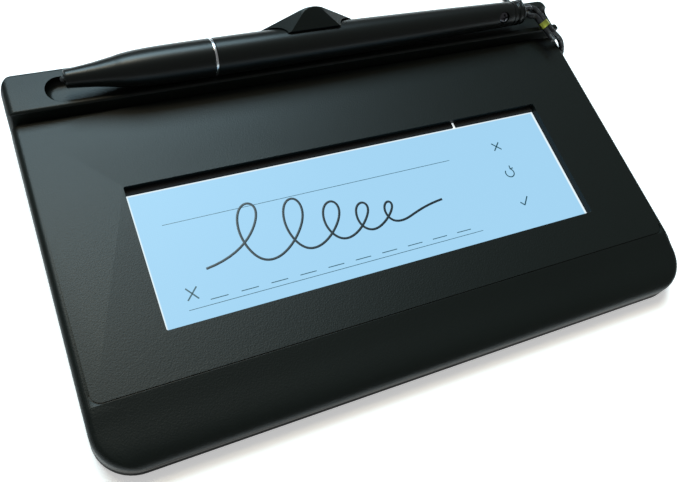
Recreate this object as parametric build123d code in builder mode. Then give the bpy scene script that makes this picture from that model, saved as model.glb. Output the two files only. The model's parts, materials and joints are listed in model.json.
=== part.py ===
from build123d import *
from math import cos, hypot, pi, radians, sin, sqrt, tan
import os

os.makedirs("parts", exist_ok=True)

# A signature pad: a low wedge-shaped housing with a lit display set in its sloping deck, a raised tray
# along the back that holds the pen, and a hood over the tray that the pen slides under. The pen is tied
# on by a thin cord. X runs to the right, Y to the back and Z up, and the origin lies on the table, under
# the middle of the housing and its hood.

# Overall sizes of the housing
case_width = 151.8
case_depth = 90.7
hood_overhang = 3.9
deck_slope = 3.0
deck_height = 12.0
foot_height = 1.0
parting_height = 4.0
case_wall = 2.0
floor_wall = 2.0
deck_wall = 1.6
front_corner_radius = 9.0
rear_corner_radius = 4.2
deck_edge_radius = 1.8
deck_corner_radius = 1.2
bottom_edge_radius = 0.9
tongue_height = 1.2
tongue_wall = 0.9
fit_clearance = 0.1
overrun = 60.0

# Rounded front edge of the deck, and the fine crease behind it
nose_depth = 13.65
nose_wall_height = 1.2
crease_width = 0.35
crease_depth = 0.25
crease_radius = 2.5

# Display opening and what lies under it
opening_width = 112.4
opening_height = 34.8
opening_radius = 0.4
display_shift = -3.5
seal_lap = 1.2
seal_thickness = 0.5
seal_border = 1.4
seal_gap = 0.9
seal_gap_place = 30.7
window_cover = 0.8
window_thickness = 0.6
glass_lip = 0.6
glass_thickness = 1.1
guide_thickness = 1.4
frame_wall = 1.6
sensor_board_width = 127.2
sensor_board_height = 46.0
board_thickness = 1.0
display_boss_x = 61.2
display_boss_y = 19.5
display_boss_radius = 2.1
display_screw_radius = 0.8
display_screw_length = 3.6
display_head_radius = 1.7
display_head_height = 0.9

# Pen tray along the back
tray_depth = 10.6
tray_gap = 0.4
tray_rise = 3.5
tray_edge_radius = 0.8
tray_end_radius = 1.9
tray_wall = 1.6
slot_width = 6.8
slot_depth = 2.4
slot_setback = 4.72
slot_margin = 9.1
slot_floor_radius = 1.6

# Hood over the pen
hood_shift = -2.4
hood_half_width = 14.0
hood_eave_height = 3.9
hood_peak_height = 12.4
hood_peak_radius = 6.0
hood_eave_radius = 1.5
hood_lip_width = 13.6
hood_lip_thickness = 0.4
hood_lip_place = 0.2
hood_front_lean = 34.6
hood_crest_run = 4.3
hood_back_lean = 57.0
hood_ridge_run = 3.4
hood_ridge_inset = 1.5
hood_flank_run = 4.5
hood_flank_spread = 5.6
hood_flank_drop = 3.3
hood_drop = 4.9
hood_clearance = 0.3
hood_peg_radius = 1.1
hood_peg_length = 1.8
hood_peg_spacing = 16.0
hood_peg_drop = 2.4

# Case screws, bosses and feet
screw_radius = 1.25
screw_head_radius = 2.4
screw_head_height = 1.5
screw_length = 5.5
boss_radius = 3.1
boss_inset = 8.2
front_boss_y = 10.5
tray_boss_y = 5.4
foot_radius = 5.0
foot_recess = 0.6
foot_inset_x = 19.0
foot_front_y = 9.5
foot_rear_y = 14.5

# Main circuit board and its parts
main_board_width = 104.0
main_board_depth = 12.0
main_board_gap = 0.6
standoff_height = 2.2
standoff_radius = 2.4
board_screw_radius = 0.8
board_head_radius = 1.8
board_head_height = 1.1
board_screw_length = 3.4
board_screw_inset = 2.8
connector_width = 16.0
connector_depth = 3.6
connector_height = 1.6
connector_inset = 0.4
ribbon_width = 14.0
ribbon_thickness = 0.2
ribbon_lead = 0.7
display_ribbon_place = -22.0
sensor_ribbon_place = 20.0
chip_side = 7.0
chip_height = 1.0
regulator_width = 5.0
regulator_depth = 4.0
crystal_length = 5.0
crystal_depth = 3.2
crystal_height = 1.3
capacitor_length = 3.2
capacitor_depth = 1.6
capacitor_height = 1.4
capacitor_pitch = 3.4
header_width = 10.0
header_depth = 4.5
header_height = 3.6
header_wall = 0.6
part_row_inset = 5.0
part_spacing = 11.0

# Cable gland in the back wall
gland_height = 8.5
gland_radius = 3.1
gland_flange_radius = 3.9
gland_flange = 1.1
cable_radius = 2.0

# Pen
pen_length = 124.6
pen_nose_place = -62.4
pen_height = 3.3
pen_radius = 4.5
pen_nose_radius = 2.1
pen_cone_length = 12.0
pen_cone_radius = 3.7
pen_shoulder_length = 22.0
pen_shoulder_radius = 4.42
pen_grip_length = 33.7
pen_ring_width = 0.7
pen_ring_step = 0.05
pen_barrel_end = 120.5
pen_barrel_end_radius = 3.32
pen_barrel_middle_radius = 4.22
pen_bore_radius = 2.3
pen_tenon_radius = 3.1
pen_tenon_length = 5.0
pen_cap_ridge = 0.22
nib_radius = 0.7
nib_travel = 0.6
nib_reach = 0.9
nib_length = 26.0
nib_collar_radius = 1.5
nib_collar_length = 1.2
pen_chamber_place = 8.0
pen_cap_tenon_length = 12.0
pen_screw_place = 116.7
pen_screw_lean = 34.0
pen_screw_radius = 0.8
pen_screw_head_radius = 1.5
pen_screw_head_height = 0.7
pen_screw_length = 3.4
pen_board_width = 3.4
pen_board_thickness = 0.8
pen_board_length = 44.0
pen_switch_length = 2.4
pen_coil_place = 13.8
pen_coil_length = 10.0
pen_coil_bore_radius = 1.0
spring_radius = 1.15
spring_wire = 0.18

# Eyelet and crimp at the pen's end of the tether
cord_diameter = 1.6
eyelet_thickness = 0.4
eyelet_reach = 3.9
eyelet_root = 1.5
eyelet_half_width = 2.0
eyelet_hole_radius = 1.1
eyelet_lean = 90.0
crimp_length = 2.95
crimp_wall = 0.4
tail_straight = 1.6
lead_straight = 4.6
strand_gap = 0.1

# Tether put away as a hank on the table behind the housing, and where it is fixed to the back wall
hank_loop_gap = 0.8
hank_layer_gap = 0.8
hank_half_length = 18.0
hank_half_width = 9.1
hank_waist_draw = 3.5
hank_middle_x = 36.0
hank_middle_y = 80.0
tie_width = 4.0
tie_thickness = 0.5
tie_gap = 0.25
hank_waist_round = 1.4
gap_reach = 4
gap_marks = 600
anchor_place = 58.0
anchor_height = 8.5
anchor_radius = 1.4
anchor_flange_radius = 2.2
anchor_flange = 1.4

# Places that follow from the sizes above
slope = radians(deck_slope)
overall_depth = case_depth + hood_overhang
front_y = -overall_depth / 2
rear_y = front_y + case_depth
middle_y = front_y + case_depth / 2
tray_front_y = rear_y - tray_depth
cover_rear_y = tray_front_y - tray_gap
floor_top = foot_height + floor_wall
half_width = case_width / 2

housing_plane = Plane(origin=(0, middle_y, 0))
deck_plane = Plane(origin=(0, middle_y, deck_height), x_dir=(1, 0, 0), z_dir=(0, -sin(slope), cos(slope)))
display_plane = deck_plane.shift_origin(deck_plane.from_local_coords((0, display_shift, 0)))


def side_point(along, above):
    # A point of the side view, from its place along the deck and its height over it
    y = middle_y + along * cos(slope) - above * sin(slope)
    z = deck_height + along * sin(slope) + above * cos(slope)
    return (y, z)


def deck_point(across, along, above):
    y, z = side_point(along, above)
    return (across, y, z)


def housing_outline(inset, rear_radius):
    with BuildSketch() as outline:
        Rectangle(case_width - 2 * inset, case_depth - 2 * inset)
        fillet(outline.vertices().group_by(Axis.Y)[0], front_corner_radius - inset)
        if rear_radius > inset:
            fillet(outline.vertices().group_by(Axis.Y)[-1], rear_radius - inset)
    return outline.sketch


def along_at(y, above):
    # The place along the deck that a given depth of the housing has, at a height over the deck
    return (y - middle_y + above * sin(slope)) / cos(slope)


crease_along = along_at(front_y + nose_depth, 0)
nose_foot = (front_y, parting_height + nose_wall_height)
nose_shoulder = (front_y, side_point(along_at(front_y, 0), 0)[1])
crease_point = side_point(crease_along, 0)
deck_rear_point = (cover_rear_y, side_point(along_at(cover_rear_y, 0), 0)[1])

boss_places = [
    (side * (half_width - boss_inset), y)
    for side in (-1, 1)
    for y in (front_y + boss_inset + front_boss_y - boss_radius, cover_rear_y - boss_inset)
]
tray_boss_places = [(side * (half_width - boss_inset), rear_y - tray_boss_y) for side in (-1, 1)]
screw_places = boss_places + tray_boss_places
foot_places = [
    (side * (half_width - foot_inset_x), y)
    for side in (-1, 1)
    for y in (front_y + foot_front_y, rear_y - foot_rear_y)
]

display_stack = seal_thickness + window_thickness + glass_thickness + guide_thickness
board_level = -deck_wall - display_stack
window_level = -deck_wall - seal_thickness
glass_level = window_level - window_thickness
guide_level = glass_level - glass_thickness
window_width = opening_width + 2 * window_cover
window_height = opening_height + window_cover - seal_border
window_offset = (-window_cover - seal_border) / 2
crease_span = case_width - 2 * deck_edge_radius
display_boss_places = [
    (x, y) for x in (-display_boss_x, display_boss_x) for y in (-display_boss_y, display_boss_y)
]
boss_foot = floor_top + screw_head_height
pilot_radius = screw_radius + fit_clearance / 2
pilot_depth = screw_length - (boss_foot - foot_height - screw_head_height) + fit_clearance

tray_top_front = side_point(along_at(tray_front_y, tray_rise), tray_rise)
tray_top_rear = side_point(along_at(rear_y, tray_rise), tray_rise)
slot_along = along_at(tray_front_y, tray_rise) + slot_setback
slot_end = slot_margin - half_width
slot_floor = tray_rise - slot_depth
tray_roof = slot_floor - tray_wall
tray_plane = deck_plane.offset(tray_rise)
tray_end_plane = Plane(tray_plane.origin, x_dir=(1, 0, 0), z_dir=-tray_plane.y_dir)
pen_y, pen_z = side_point(slot_along, tray_rise + pen_height)
peg_z = tray_top_rear[1] - hood_peg_drop
peg_places = [(hood_shift + side * hood_peg_spacing / 2, rear_y, peg_z) for side in (-1, 1)]

board_rear_y = cover_rear_y - tray_wall - main_board_gap
board_middle_y = board_rear_y - main_board_depth / 2
board_top = floor_top + standoff_height + board_thickness
board_plane = Plane(origin=(0, board_middle_y, board_top))
board_screw_x = main_board_width / 2 - board_screw_inset
board_screw_y = main_board_depth / 2 - board_screw_inset
board_screw_places = [
    (x, y) for x in (-board_screw_x, board_screw_x) for y in (-board_screw_y, board_screw_y)
]


def screw_boss(places, foot, head_of):
    # Round posts from a foot height up to a height that depends on where each one stands
    for x, y in places:
        with Locations((x, y, foot)):
            Cylinder(boss_radius, head_of(y) - foot, align=(Align.CENTER, Align.CENTER, Align.MIN))


def pilot_holes(places, foot, radius, depth):
    with Locations([(x, y, foot) for x, y in places]):
        Cylinder(radius, depth, align=(Align.CENTER, Align.CENTER, Align.MIN), mode=Mode.SUBTRACT)


def deck_coordinates(y, z):
    # The place along the deck and the height over it that a point of the side view has
    along = (y - middle_y) * cos(slope) + (z - deck_height) * sin(slope)
    above = (z - deck_height) * cos(slope) - (y - middle_y) * sin(slope)
    return along, above


# Base case: a shallow tray with a tongue that the cover and the pen tray fit over
with BuildPart() as base_case:
    with BuildSketch(housing_plane.offset(foot_height)):
        add(housing_outline(0, rear_corner_radius))
    extrude(amount=parting_height - foot_height)
    fillet(base_case.faces().sort_by(Axis.Z)[0].edges(), bottom_edge_radius)
    with BuildSketch(housing_plane.offset(parting_height)):
        add(housing_outline(case_wall - tongue_wall, rear_corner_radius))
    extrude(amount=tongue_height)
    with BuildSketch(housing_plane.offset(floor_top)):
        add(housing_outline(case_wall, rear_corner_radius))
    extrude(amount=overrun, mode=Mode.SUBTRACT)
    with Locations([(x, y, floor_top) for x, y in screw_places]):
        Cylinder(boss_radius, screw_head_height, align=(Align.CENTER, Align.CENTER, Align.MIN))
    with Locations([(x, y, foot_height) for x, y in screw_places]):
        with Locations(Location((0, 0, 0), (180, 0, 0))):
            head_hole_radius = screw_head_radius + fit_clearance
            CounterBoreHole(screw_radius + fit_clearance, head_hole_radius, screw_head_height)
    with Locations([(x, y, foot_height) for x, y in foot_places]):
        Cylinder(foot_radius, foot_recess, align=(Align.CENTER, Align.CENTER, Align.MIN), mode=Mode.SUBTRACT)
    with BuildSketch(Plane(origin=(0, board_middle_y, floor_top))):
        with Locations(board_screw_places):
            Circle(standoff_radius)
    extrude(amount=standoff_height)
    with BuildSketch(Plane(origin=(0, board_middle_y, board_top))):
        with Locations(board_screw_places):
            Circle(board_screw_radius)
    extrude(amount=-board_screw_length - fit_clearance, mode=Mode.SUBTRACT)
base_case.part.label = "base_case"

# Top cover: the sloping deck with its rounded front, walls down to the base, and the display opening
with BuildPart() as cover_cavity:
    with BuildSketch(Plane.YZ):
        with BuildLine():
            inner_foot = (front_y + case_wall, parting_height - fit_clearance)
            inner_front = along_at(front_y + case_wall, -deck_wall)
            inner_shoulder = side_point(inner_front, -deck_wall - nose_wall_height)
            inner_crease = side_point(crease_along, -deck_wall)
            inner_rear_y = cover_rear_y - tray_wall
            inner_rear = (inner_rear_y, side_point(along_at(inner_rear_y, -deck_wall), -deck_wall)[1])
            Bezier(inner_foot, inner_shoulder, inner_crease)
            Polyline(inner_crease, inner_rear, (inner_rear_y, parting_height - fit_clearance), inner_foot)
        make_face()
    extrude(amount=half_width, both=True)
    with BuildSketch(housing_plane):
        add(housing_outline(case_wall, 0))
    extrude(amount=overrun, mode=Mode.INTERSECT)


def tongue_room(rear_radius):
    with BuildPart() as room:
        with BuildSketch(housing_plane.offset(parting_height - fit_clearance)):
            add(housing_outline(case_wall - tongue_wall - fit_clearance, rear_radius))
            add(housing_outline(case_wall + fit_clearance, rear_radius), mode=Mode.SUBTRACT)
        extrude(amount=tongue_height + 2 * fit_clearance)
    return room.part


cover_room = tongue_room(0)
tray_room = tongue_room(rear_corner_radius)

with BuildPart() as top_cover:
    with BuildSketch(Plane.YZ):
        with BuildLine():
            Bezier(nose_foot, nose_shoulder, crease_point)
            rear_foot = (cover_rear_y, parting_height)
            Polyline(crease_point, deck_rear_point, rear_foot, (front_y, parting_height), nose_foot)
        make_face()
    extrude(amount=half_width, both=True)
    with BuildSketch(housing_plane.offset(parting_height)):
        add(housing_outline(0, 0))
    extrude(amount=overrun, mode=Mode.INTERSECT)
    rim = top_cover.edges().filter_by(lambda edge: edge.center().Z > parting_height + nose_wall_height)
    rim = rim.filter_by(lambda edge: abs(edge.center().X) > half_width - front_corner_radius)
    fillet(rim, deck_edge_radius)
    with BuildSketch(Plane(origin=(0, cover_rear_y, 0))) as cover_plan:
        Rectangle(case_width, 2 * case_depth, align=(Align.CENTER, Align.MAX))
        fillet(cover_plan.vertices().group_by(Axis.Y)[-1], deck_corner_radius)
    extrude(amount=overrun, mode=Mode.INTERSECT)
    add(cover_cavity.part, mode=Mode.SUBTRACT)
    add(cover_room, mode=Mode.SUBTRACT)
    screw_boss(boss_places, boss_foot, lambda y: side_point(along_at(y, 0), 0)[1] - deck_wall / 2)
    pilot_holes(boss_places, boss_foot, pilot_radius, pilot_depth)
    with BuildSketch(display_plane.offset(-deck_wall / 2)):
        with Locations(display_boss_places):
            Circle(display_boss_radius)
    extrude(amount=board_level + deck_wall / 2)
    with BuildSketch(display_plane.offset(board_level)):
        with Locations(display_boss_places):
            Circle(display_screw_radius)
    extrude(amount=display_screw_length, mode=Mode.SUBTRACT)
    with BuildSketch(display_plane.offset(deck_wall)):
        RectangleRounded(opening_width, opening_height, opening_radius)
    extrude(amount=-3 * deck_wall, mode=Mode.SUBTRACT)
    with BuildSketch(deck_plane):
        with Locations((0, crease_along)):
            RectangleRounded(crease_span, case_depth, crease_radius, align=(Align.CENTER, Align.MIN))
        with Locations((0, crease_along + crease_width)):
            inner_span = crease_span - 2 * crease_width
            inner_radius = crease_radius - crease_width
            to_rear = (Align.CENTER, Align.MIN)
            RectangleRounded(inner_span, case_depth, inner_radius, align=to_rear, mode=Mode.SUBTRACT)
        with Locations((0, crease_along + crease_radius)):
            Rectangle(case_width, 2 * case_depth, align=(Align.CENTER, Align.MIN), mode=Mode.SUBTRACT)
    extrude(amount=-crease_depth, mode=Mode.SUBTRACT)
top_cover.part.label = "top_cover"

# Pen tray: the raised bar along the back, hollow below, with a slot for the pen that is open to the right
with BuildPart() as tray_cavity:
    with BuildSketch(Plane.YZ):
        with BuildLine():
            cavity_front = tray_front_y + tray_wall
            cavity_rear = rear_y - case_wall
            Polyline(
                (cavity_front, parting_height - fit_clearance),
                (cavity_front, side_point(along_at(cavity_front, tray_roof), tray_roof)[1]),
                (cavity_rear, side_point(along_at(cavity_rear, tray_roof), tray_roof)[1]),
                (cavity_rear, parting_height - fit_clearance),
                close=True,
            )
        make_face()
    extrude(amount=half_width, both=True)
    with BuildSketch(housing_plane):
        add(housing_outline(case_wall, rear_corner_radius))
    extrude(amount=overrun, mode=Mode.INTERSECT)


def tray_boss_top(y):
    return side_point(along_at(y, tray_roof), tray_roof)[1] + tray_wall / 2


with BuildPart() as pen_tray:
    with BuildSketch(Plane.YZ) as tray_side:
        with BuildLine():
            Polyline(
                (tray_front_y, parting_height),
                tray_top_front,
                tray_top_rear,
                (rear_y, parting_height),
                close=True,
            )
        make_face()
        fillet(tray_side.vertices().sort_by(Axis.Y)[-2:], tray_edge_radius)
    extrude(amount=half_width, both=True)
    with BuildSketch(housing_plane):
        add(housing_outline(0, rear_corner_radius))
    extrude(amount=overrun, mode=Mode.INTERSECT)
    with BuildSketch(tray_end_plane) as tray_ends:
        Rectangle(case_width, case_depth, align=(Align.CENTER, Align.MAX))
        fillet(tray_ends.vertices().group_by(Axis.Y)[-1], tray_end_radius)
    extrude(amount=case_depth, both=True, mode=Mode.INTERSECT)
    with BuildSketch(Plane(origin=(0, tray_front_y, 0))) as tray_plan:
        Rectangle(case_width, case_depth, align=(Align.CENTER, Align.MIN))
        fillet(tray_plan.vertices().group_by(Axis.Y)[0], deck_corner_radius)
    extrude(amount=overrun, mode=Mode.INTERSECT)
    add(tray_cavity.part, mode=Mode.SUBTRACT)
    add(tray_room, mode=Mode.SUBTRACT)
    screw_boss(tray_boss_places, boss_foot, tray_boss_top)
    pilot_holes(tray_boss_places, boss_foot, pilot_radius, pilot_depth)
    with BuildSketch(tray_plane.offset(slot_depth)):
        with Locations((slot_end + slot_width / 2, slot_along)):
            Circle(slot_width / 2)
            Rectangle(case_width, slot_width, align=(Align.MIN, Align.CENTER))
    extrude(amount=-2 * slot_depth, mode=Mode.SUBTRACT)
    floor_edges = pen_tray.edges().filter_by(
        lambda edge: abs(deck_plane.to_local_coords(edge.center()).Z - slot_floor) < fit_clearance
    )
    fillet(floor_edges.filter_by(lambda edge: edge.length > slot_width), slot_floor_radius)
    with Locations(Location((0, rear_y - case_wall / 2, gland_height), (90, 0, 0))):
        Cylinder(gland_radius + fit_clearance / 2, 2 * case_wall, mode=Mode.SUBTRACT)
    with BuildSketch(Plane(origin=(0, rear_y, 0), x_dir=(1, 0, 0), z_dir=(0, -1, 0))):
        with Locations([(x, z) for x, y, z in peg_places]):
            Circle(hood_peg_radius + fit_clearance)
    extrude(amount=hood_peg_length + fit_clearance, mode=Mode.SUBTRACT)
    with Locations(Location((anchor_place, rear_y - case_wall / 2, anchor_height), (90, 0, 0))):
        Cylinder(anchor_radius + fit_clearance / 2, 2 * case_wall, mode=Mode.SUBTRACT)
pen_tray.part.label = "pen_tray"

# Pen hood: a rounded gable over the pen, cut back to a sloping front and two flanks. Behind its crest it
# falls off to an apron on the back wall, which two pegs hold
hood_rear_y = rear_y + hood_overhang
hood_lip_along = slot_along + hood_lip_place
hood_lip_above = tray_rise + pen_height + pen_radius + hood_clearance + hood_lip_thickness
hood_slope_run = hood_rear_y - side_point(hood_lip_along, hood_lip_above)[0]
hood_slope_rise = hood_slope_run * tan(radians(hood_front_lean))
hood_slope_top = (hood_lip_along + hood_slope_run, hood_lip_above + hood_slope_rise)
hood_corner = Vector(*deck_point(hood_shift - hood_lip_width / 2, hood_lip_along, hood_lip_above))
ridge_rise = hood_ridge_run * tan(radians(hood_front_lean))
ridge_way = Vector(*deck_point(hood_ridge_inset, hood_ridge_run, ridge_rise)) - Vector(*deck_point(0, 0, 0))
flank_end = Vector(*deck_point(-hood_flank_spread, hood_flank_run, -hood_flank_drop))
flank_way = flank_end - Vector(*deck_point(0, 0, 0))
flank_normal = ridge_way.cross(flank_way)
left_flank = Plane(origin=hood_corner, x_dir=ridge_way, z_dir=flank_normal)
right_corner = Vector(2 * hood_shift - hood_corner.X, hood_corner.Y, hood_corner.Z)
right_flank = Plane(
    origin=right_corner,
    x_dir=(-ridge_way.X, ridge_way.Y, ridge_way.Z),
    z_dir=(-flank_normal.X, flank_normal.Y, flank_normal.Z),
)

gable_origin = deck_point(hood_shift, hood_lip_along + hood_crest_run, tray_rise)
gable_plane = Plane(origin=gable_origin, x_dir=(1, 0, 0), z_dir=(0, -cos(slope), -sin(slope)))
back_lean = radians(hood_back_lean)
with BuildPart() as pen_hood:
    with BuildSketch(gable_plane) as gable:
        with BuildLine():
            Polyline(
                (-hood_half_width, -hood_drop - deck_wall),
                (-hood_half_width, hood_eave_height),
                (0, hood_peak_height),
                (hood_half_width, hood_eave_height),
                (hood_half_width, -hood_drop - deck_wall),
                close=True,
            )
        make_face()
        fillet(gable.vertices().sort_by(Axis.Y)[-1], hood_peak_radius)
        eaves = gable.vertices().filter_by(lambda v: abs(v.Y - hood_eave_height) < fit_clearance)
        fillet(eaves, hood_eave_radius)
    extrude(amount=overrun)
    extrude(gable.sketch, amount=overrun, dir=(0, cos(back_lean), -sin(back_lean)))
    with BuildSketch(Plane.YZ):
        with BuildLine():
            Polyline(
                side_point(hood_lip_along, tray_rise),
                side_point(hood_lip_along, hood_lip_above),
                side_point(*hood_slope_top),
                (hood_rear_y, side_point(*hood_slope_top)[1]),
                (hood_rear_y, tray_top_rear[1] - hood_drop),
                (rear_y, tray_top_rear[1] - hood_drop),
                tray_top_rear,
                close=True,
            )
        make_face()
    extrude(amount=half_width, both=True, mode=Mode.INTERSECT)
    split(bisect_by=left_flank, keep=Keep.BOTTOM)
    split(bisect_by=right_flank, keep=Keep.BOTTOM)
    with BuildSketch(Plane(origin=(0, pen_y, pen_z), x_dir=(0, 1, 0), z_dir=(1, 0, 0))):
        Circle(pen_radius + hood_clearance)
    extrude(amount=half_width, both=True, mode=Mode.SUBTRACT)
    with BuildSketch(Plane(origin=(0, rear_y, 0), x_dir=(1, 0, 0), z_dir=(0, -1, 0))):
        with Locations([(x, z) for x, y, z in peg_places]):
            Circle(hood_peg_radius)
    extrude(amount=hood_peg_length)
pen_hood.part.label = "pen_hood"

# Display: a black seal under the deck, the bright window, the glass and its light guide, a white frame round
# them, and the sensor board that closes the stack from below
with BuildPart() as dust_seal:
    with BuildSketch(display_plane.offset(-deck_wall)):
        Rectangle(opening_width + 2 * seal_lap, opening_height + 2 * seal_lap)
        with Locations((0, -opening_height / 2)):
            hole_width = opening_width + 2 * fit_clearance
            hole_height = opening_height - seal_border
            Rectangle(hole_width, hole_height, align=(Align.CENTER, Align.MIN), mode=Mode.SUBTRACT)
        with Locations((seal_gap_place, opening_height / 2)):
            Rectangle(seal_gap, 3 * (seal_border + seal_lap), mode=Mode.SUBTRACT)
    extrude(amount=-seal_thickness)
dust_seal.part.label = "dust_seal"

with BuildPart() as display_window:
    with BuildSketch(display_plane.offset(window_level)):
        with Locations((0, window_offset)):
            Rectangle(window_width, window_height)
    extrude(amount=-window_thickness)
display_window.part.label = "display_window"

with BuildPart() as lcd_glass:
    with BuildSketch(display_plane.offset(glass_level)):
        with Locations((0, window_offset)):
            Rectangle(window_width - 2 * glass_lip, window_height - 2 * glass_lip)
    extrude(amount=-glass_thickness)
lcd_glass.part.label = "lcd_glass"

with BuildPart() as light_guide:
    with BuildSketch(display_plane.offset(guide_level)):
        with Locations((0, window_offset)):
            Rectangle(window_width, window_height)
    extrude(amount=-guide_thickness)
light_guide.part.label = "light_guide"

with BuildPart() as light_frame:
    with BuildSketch(display_plane.offset(window_level)):
        with Locations((0, window_offset)):
            Rectangle(window_width + 2 * frame_wall, window_height + 2 * frame_wall)
            frame_hole = (window_width + 2 * fit_clearance, window_height + 2 * fit_clearance)
            Rectangle(*frame_hole, mode=Mode.SUBTRACT)
    extrude(amount=board_level - window_level)
    with BuildSketch(display_plane.offset(glass_level)):
        with Locations((display_ribbon_place, window_offset + window_height / 2)):
            Rectangle(ribbon_width + 2 * fit_clearance, 3 * frame_wall)
    extrude(amount=-glass_thickness, mode=Mode.SUBTRACT)
light_frame.part.label = "light_frame"

with BuildPart() as sensor_board:
    with BuildSketch(display_plane.offset(board_level)):
        Rectangle(sensor_board_width, sensor_board_height)
        with Locations(display_boss_places):
            Circle(display_screw_radius + fit_clearance, mode=Mode.SUBTRACT)
    extrude(amount=-board_thickness)
sensor_board.part.label = "sensor_board"

with BuildPart() as display_screws:
    with BuildSketch(display_plane.offset(board_level - board_thickness)):
        with Locations(display_boss_places):
            Circle(display_head_radius)
    extrude(amount=-display_head_height)
    with BuildSketch(display_plane.offset(board_level - board_thickness)):
        with Locations(display_boss_places):
            Circle(display_screw_radius - fit_clearance / 2)
    extrude(amount=display_screw_length)
display_screws.part.label = "display_screws"

# Main circuit board behind the display, with what is soldered on it
with BuildPart() as main_board:
    with BuildSketch(board_plane):
        Rectangle(main_board_width, main_board_depth)
        with Locations(board_screw_places):
            Circle(board_screw_radius + fit_clearance, mode=Mode.SUBTRACT)
    extrude(amount=-board_thickness)
main_board.part.label = "main_board"

with BuildPart() as board_screws:
    with BuildSketch(board_plane):
        with Locations(board_screw_places):
            Circle(board_head_radius)
    extrude(amount=board_head_height)
    with BuildSketch(board_plane):
        with Locations(board_screw_places):
            Circle(board_screw_radius - fit_clearance / 2)
    extrude(amount=-board_screw_length)
board_screws.part.label = "board_screws"

connector_along = connector_inset + connector_depth / 2 - main_board_depth / 2
with BuildPart() as ribbon_connectors:
    with BuildSketch(board_plane):
        with Locations((display_ribbon_place, connector_along), (sensor_ribbon_place, connector_along)):
            Rectangle(connector_width, connector_depth)
    extrude(amount=connector_height)
    chamfer(ribbon_connectors.faces().sort_by(Axis.Z)[-1].edges(), ribbon_thickness)
ribbon_connectors.part.label = "ribbon_connectors"

part_row = main_board_depth / 2 - part_row_inset
with BuildPart() as processor_chip:
    with BuildSketch(board_plane):
        with Locations((0, part_row)):
            Rectangle(chip_side, chip_side)
    extrude(amount=chip_height)
    chamfer(processor_chip.faces().sort_by(Axis.Z)[-1].edges(), chip_height / 6)
processor_chip.part.label = "processor_chip"

with BuildPart() as regulator_chip:
    with BuildSketch(board_plane):
        with Locations((-part_spacing, part_row)):
            Rectangle(regulator_width, regulator_depth)
    extrude(amount=chip_height)
    chamfer(regulator_chip.faces().sort_by(Axis.Z)[-1].edges(), chip_height / 6)
regulator_chip.part.label = "regulator_chip"

with BuildPart() as clock_crystal:
    with BuildSketch(board_plane):
        with Locations((part_spacing, part_row)):
            RectangleRounded(crystal_length, crystal_depth, crystal_depth / 3)
    extrude(amount=crystal_height)
clock_crystal.part.label = "clock_crystal"

with BuildPart() as board_capacitors:
    with BuildSketch(board_plane):
        with Locations((-3 * part_spacing, part_row)):
            with GridLocations(capacitor_pitch + capacitor_length / 2, capacitor_pitch, 3, 2):
                Rectangle(capacitor_length, capacitor_depth)
    extrude(amount=capacitor_height)
board_capacitors.part.label = "board_capacitors"

with BuildPart() as cable_header:
    with BuildSketch(board_plane):
        with Locations((3 * part_spacing, part_row)):
            Rectangle(header_width, header_depth)
    extrude(amount=header_height)
    with BuildSketch(board_plane.offset(header_height)):
        with Locations((3 * part_spacing, part_row)):
            Rectangle(header_width - 2 * header_wall, header_depth - 2 * header_wall)
    extrude(amount=-header_height + header_wall, mode=Mode.SUBTRACT)
    with BuildSketch(board_plane.offset(header_wall)):
        with Locations((3 * part_spacing, part_row)):
            with GridLocations((header_width - 2 * header_wall) / 4, header_depth, 4, 1):
                Rectangle(header_wall, header_wall)
    extrude(amount=header_height - 2 * header_wall)
cable_header.part.label = "cable_header"

# Flat ribbons from the display and from the sensor board
glass_rear = window_offset + window_height / 2 - glass_lip
ribbon_y = board_middle_y + connector_along
ribbon_foot_along, ribbon_foot_above = deck_coordinates(ribbon_y, board_top + connector_height)
ribbon_end = ribbon_foot_along - display_shift
ribbon_foot_above = ribbon_foot_above + fit_clearance / 2
ribbon_top = glass_level - ribbon_lead / 2
side_plane = Plane(origin=display_plane.origin, x_dir=(0, cos(slope), sin(slope)), z_dir=(1, 0, 0))
inner_bend = (ribbon_end - ribbon_thickness, ribbon_top - ribbon_thickness, 0)
with BuildPart() as display_ribbon:
    with BuildSketch(side_plane.offset(display_ribbon_place - ribbon_width / 2)) as ribbon_side:
        with BuildLine():
            Polyline(
                (glass_rear, ribbon_top),
                (ribbon_end, ribbon_top),
                (ribbon_end, ribbon_foot_above),
                (ribbon_end - ribbon_thickness, ribbon_foot_above),
                (ribbon_end - ribbon_thickness, ribbon_top - ribbon_thickness),
                (glass_rear, ribbon_top - ribbon_thickness),
                close=True,
            )
        make_face()
        bend_corners = ribbon_side.vertices().sort_by(Axis.X)[2:].sort_by(Axis.Y)[-2:]
        fillet(bend_corners.sort_by(Axis.X)[-1], ribbon_lead)
        fillet(ribbon_side.vertices().sort_by_distance(inner_bend)[0], ribbon_lead - ribbon_thickness)
    extrude(amount=ribbon_width)
display_ribbon.part.label = "display_ribbon"

sensor_rear = sensor_board_height / 2
connector_front = deck_coordinates(ribbon_y - connector_depth / 2, board_top)[0] - display_shift
with BuildPart() as sensor_ribbon:
    with BuildSketch(display_plane.offset(board_level - board_thickness / 2)):
        with Locations((sensor_ribbon_place, sensor_rear)):
            Rectangle(ribbon_width, connector_front - sensor_rear, align=(Align.CENTER, Align.MIN))
    extrude(amount=-ribbon_thickness)
sensor_ribbon.part.label = "sensor_ribbon"

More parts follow.
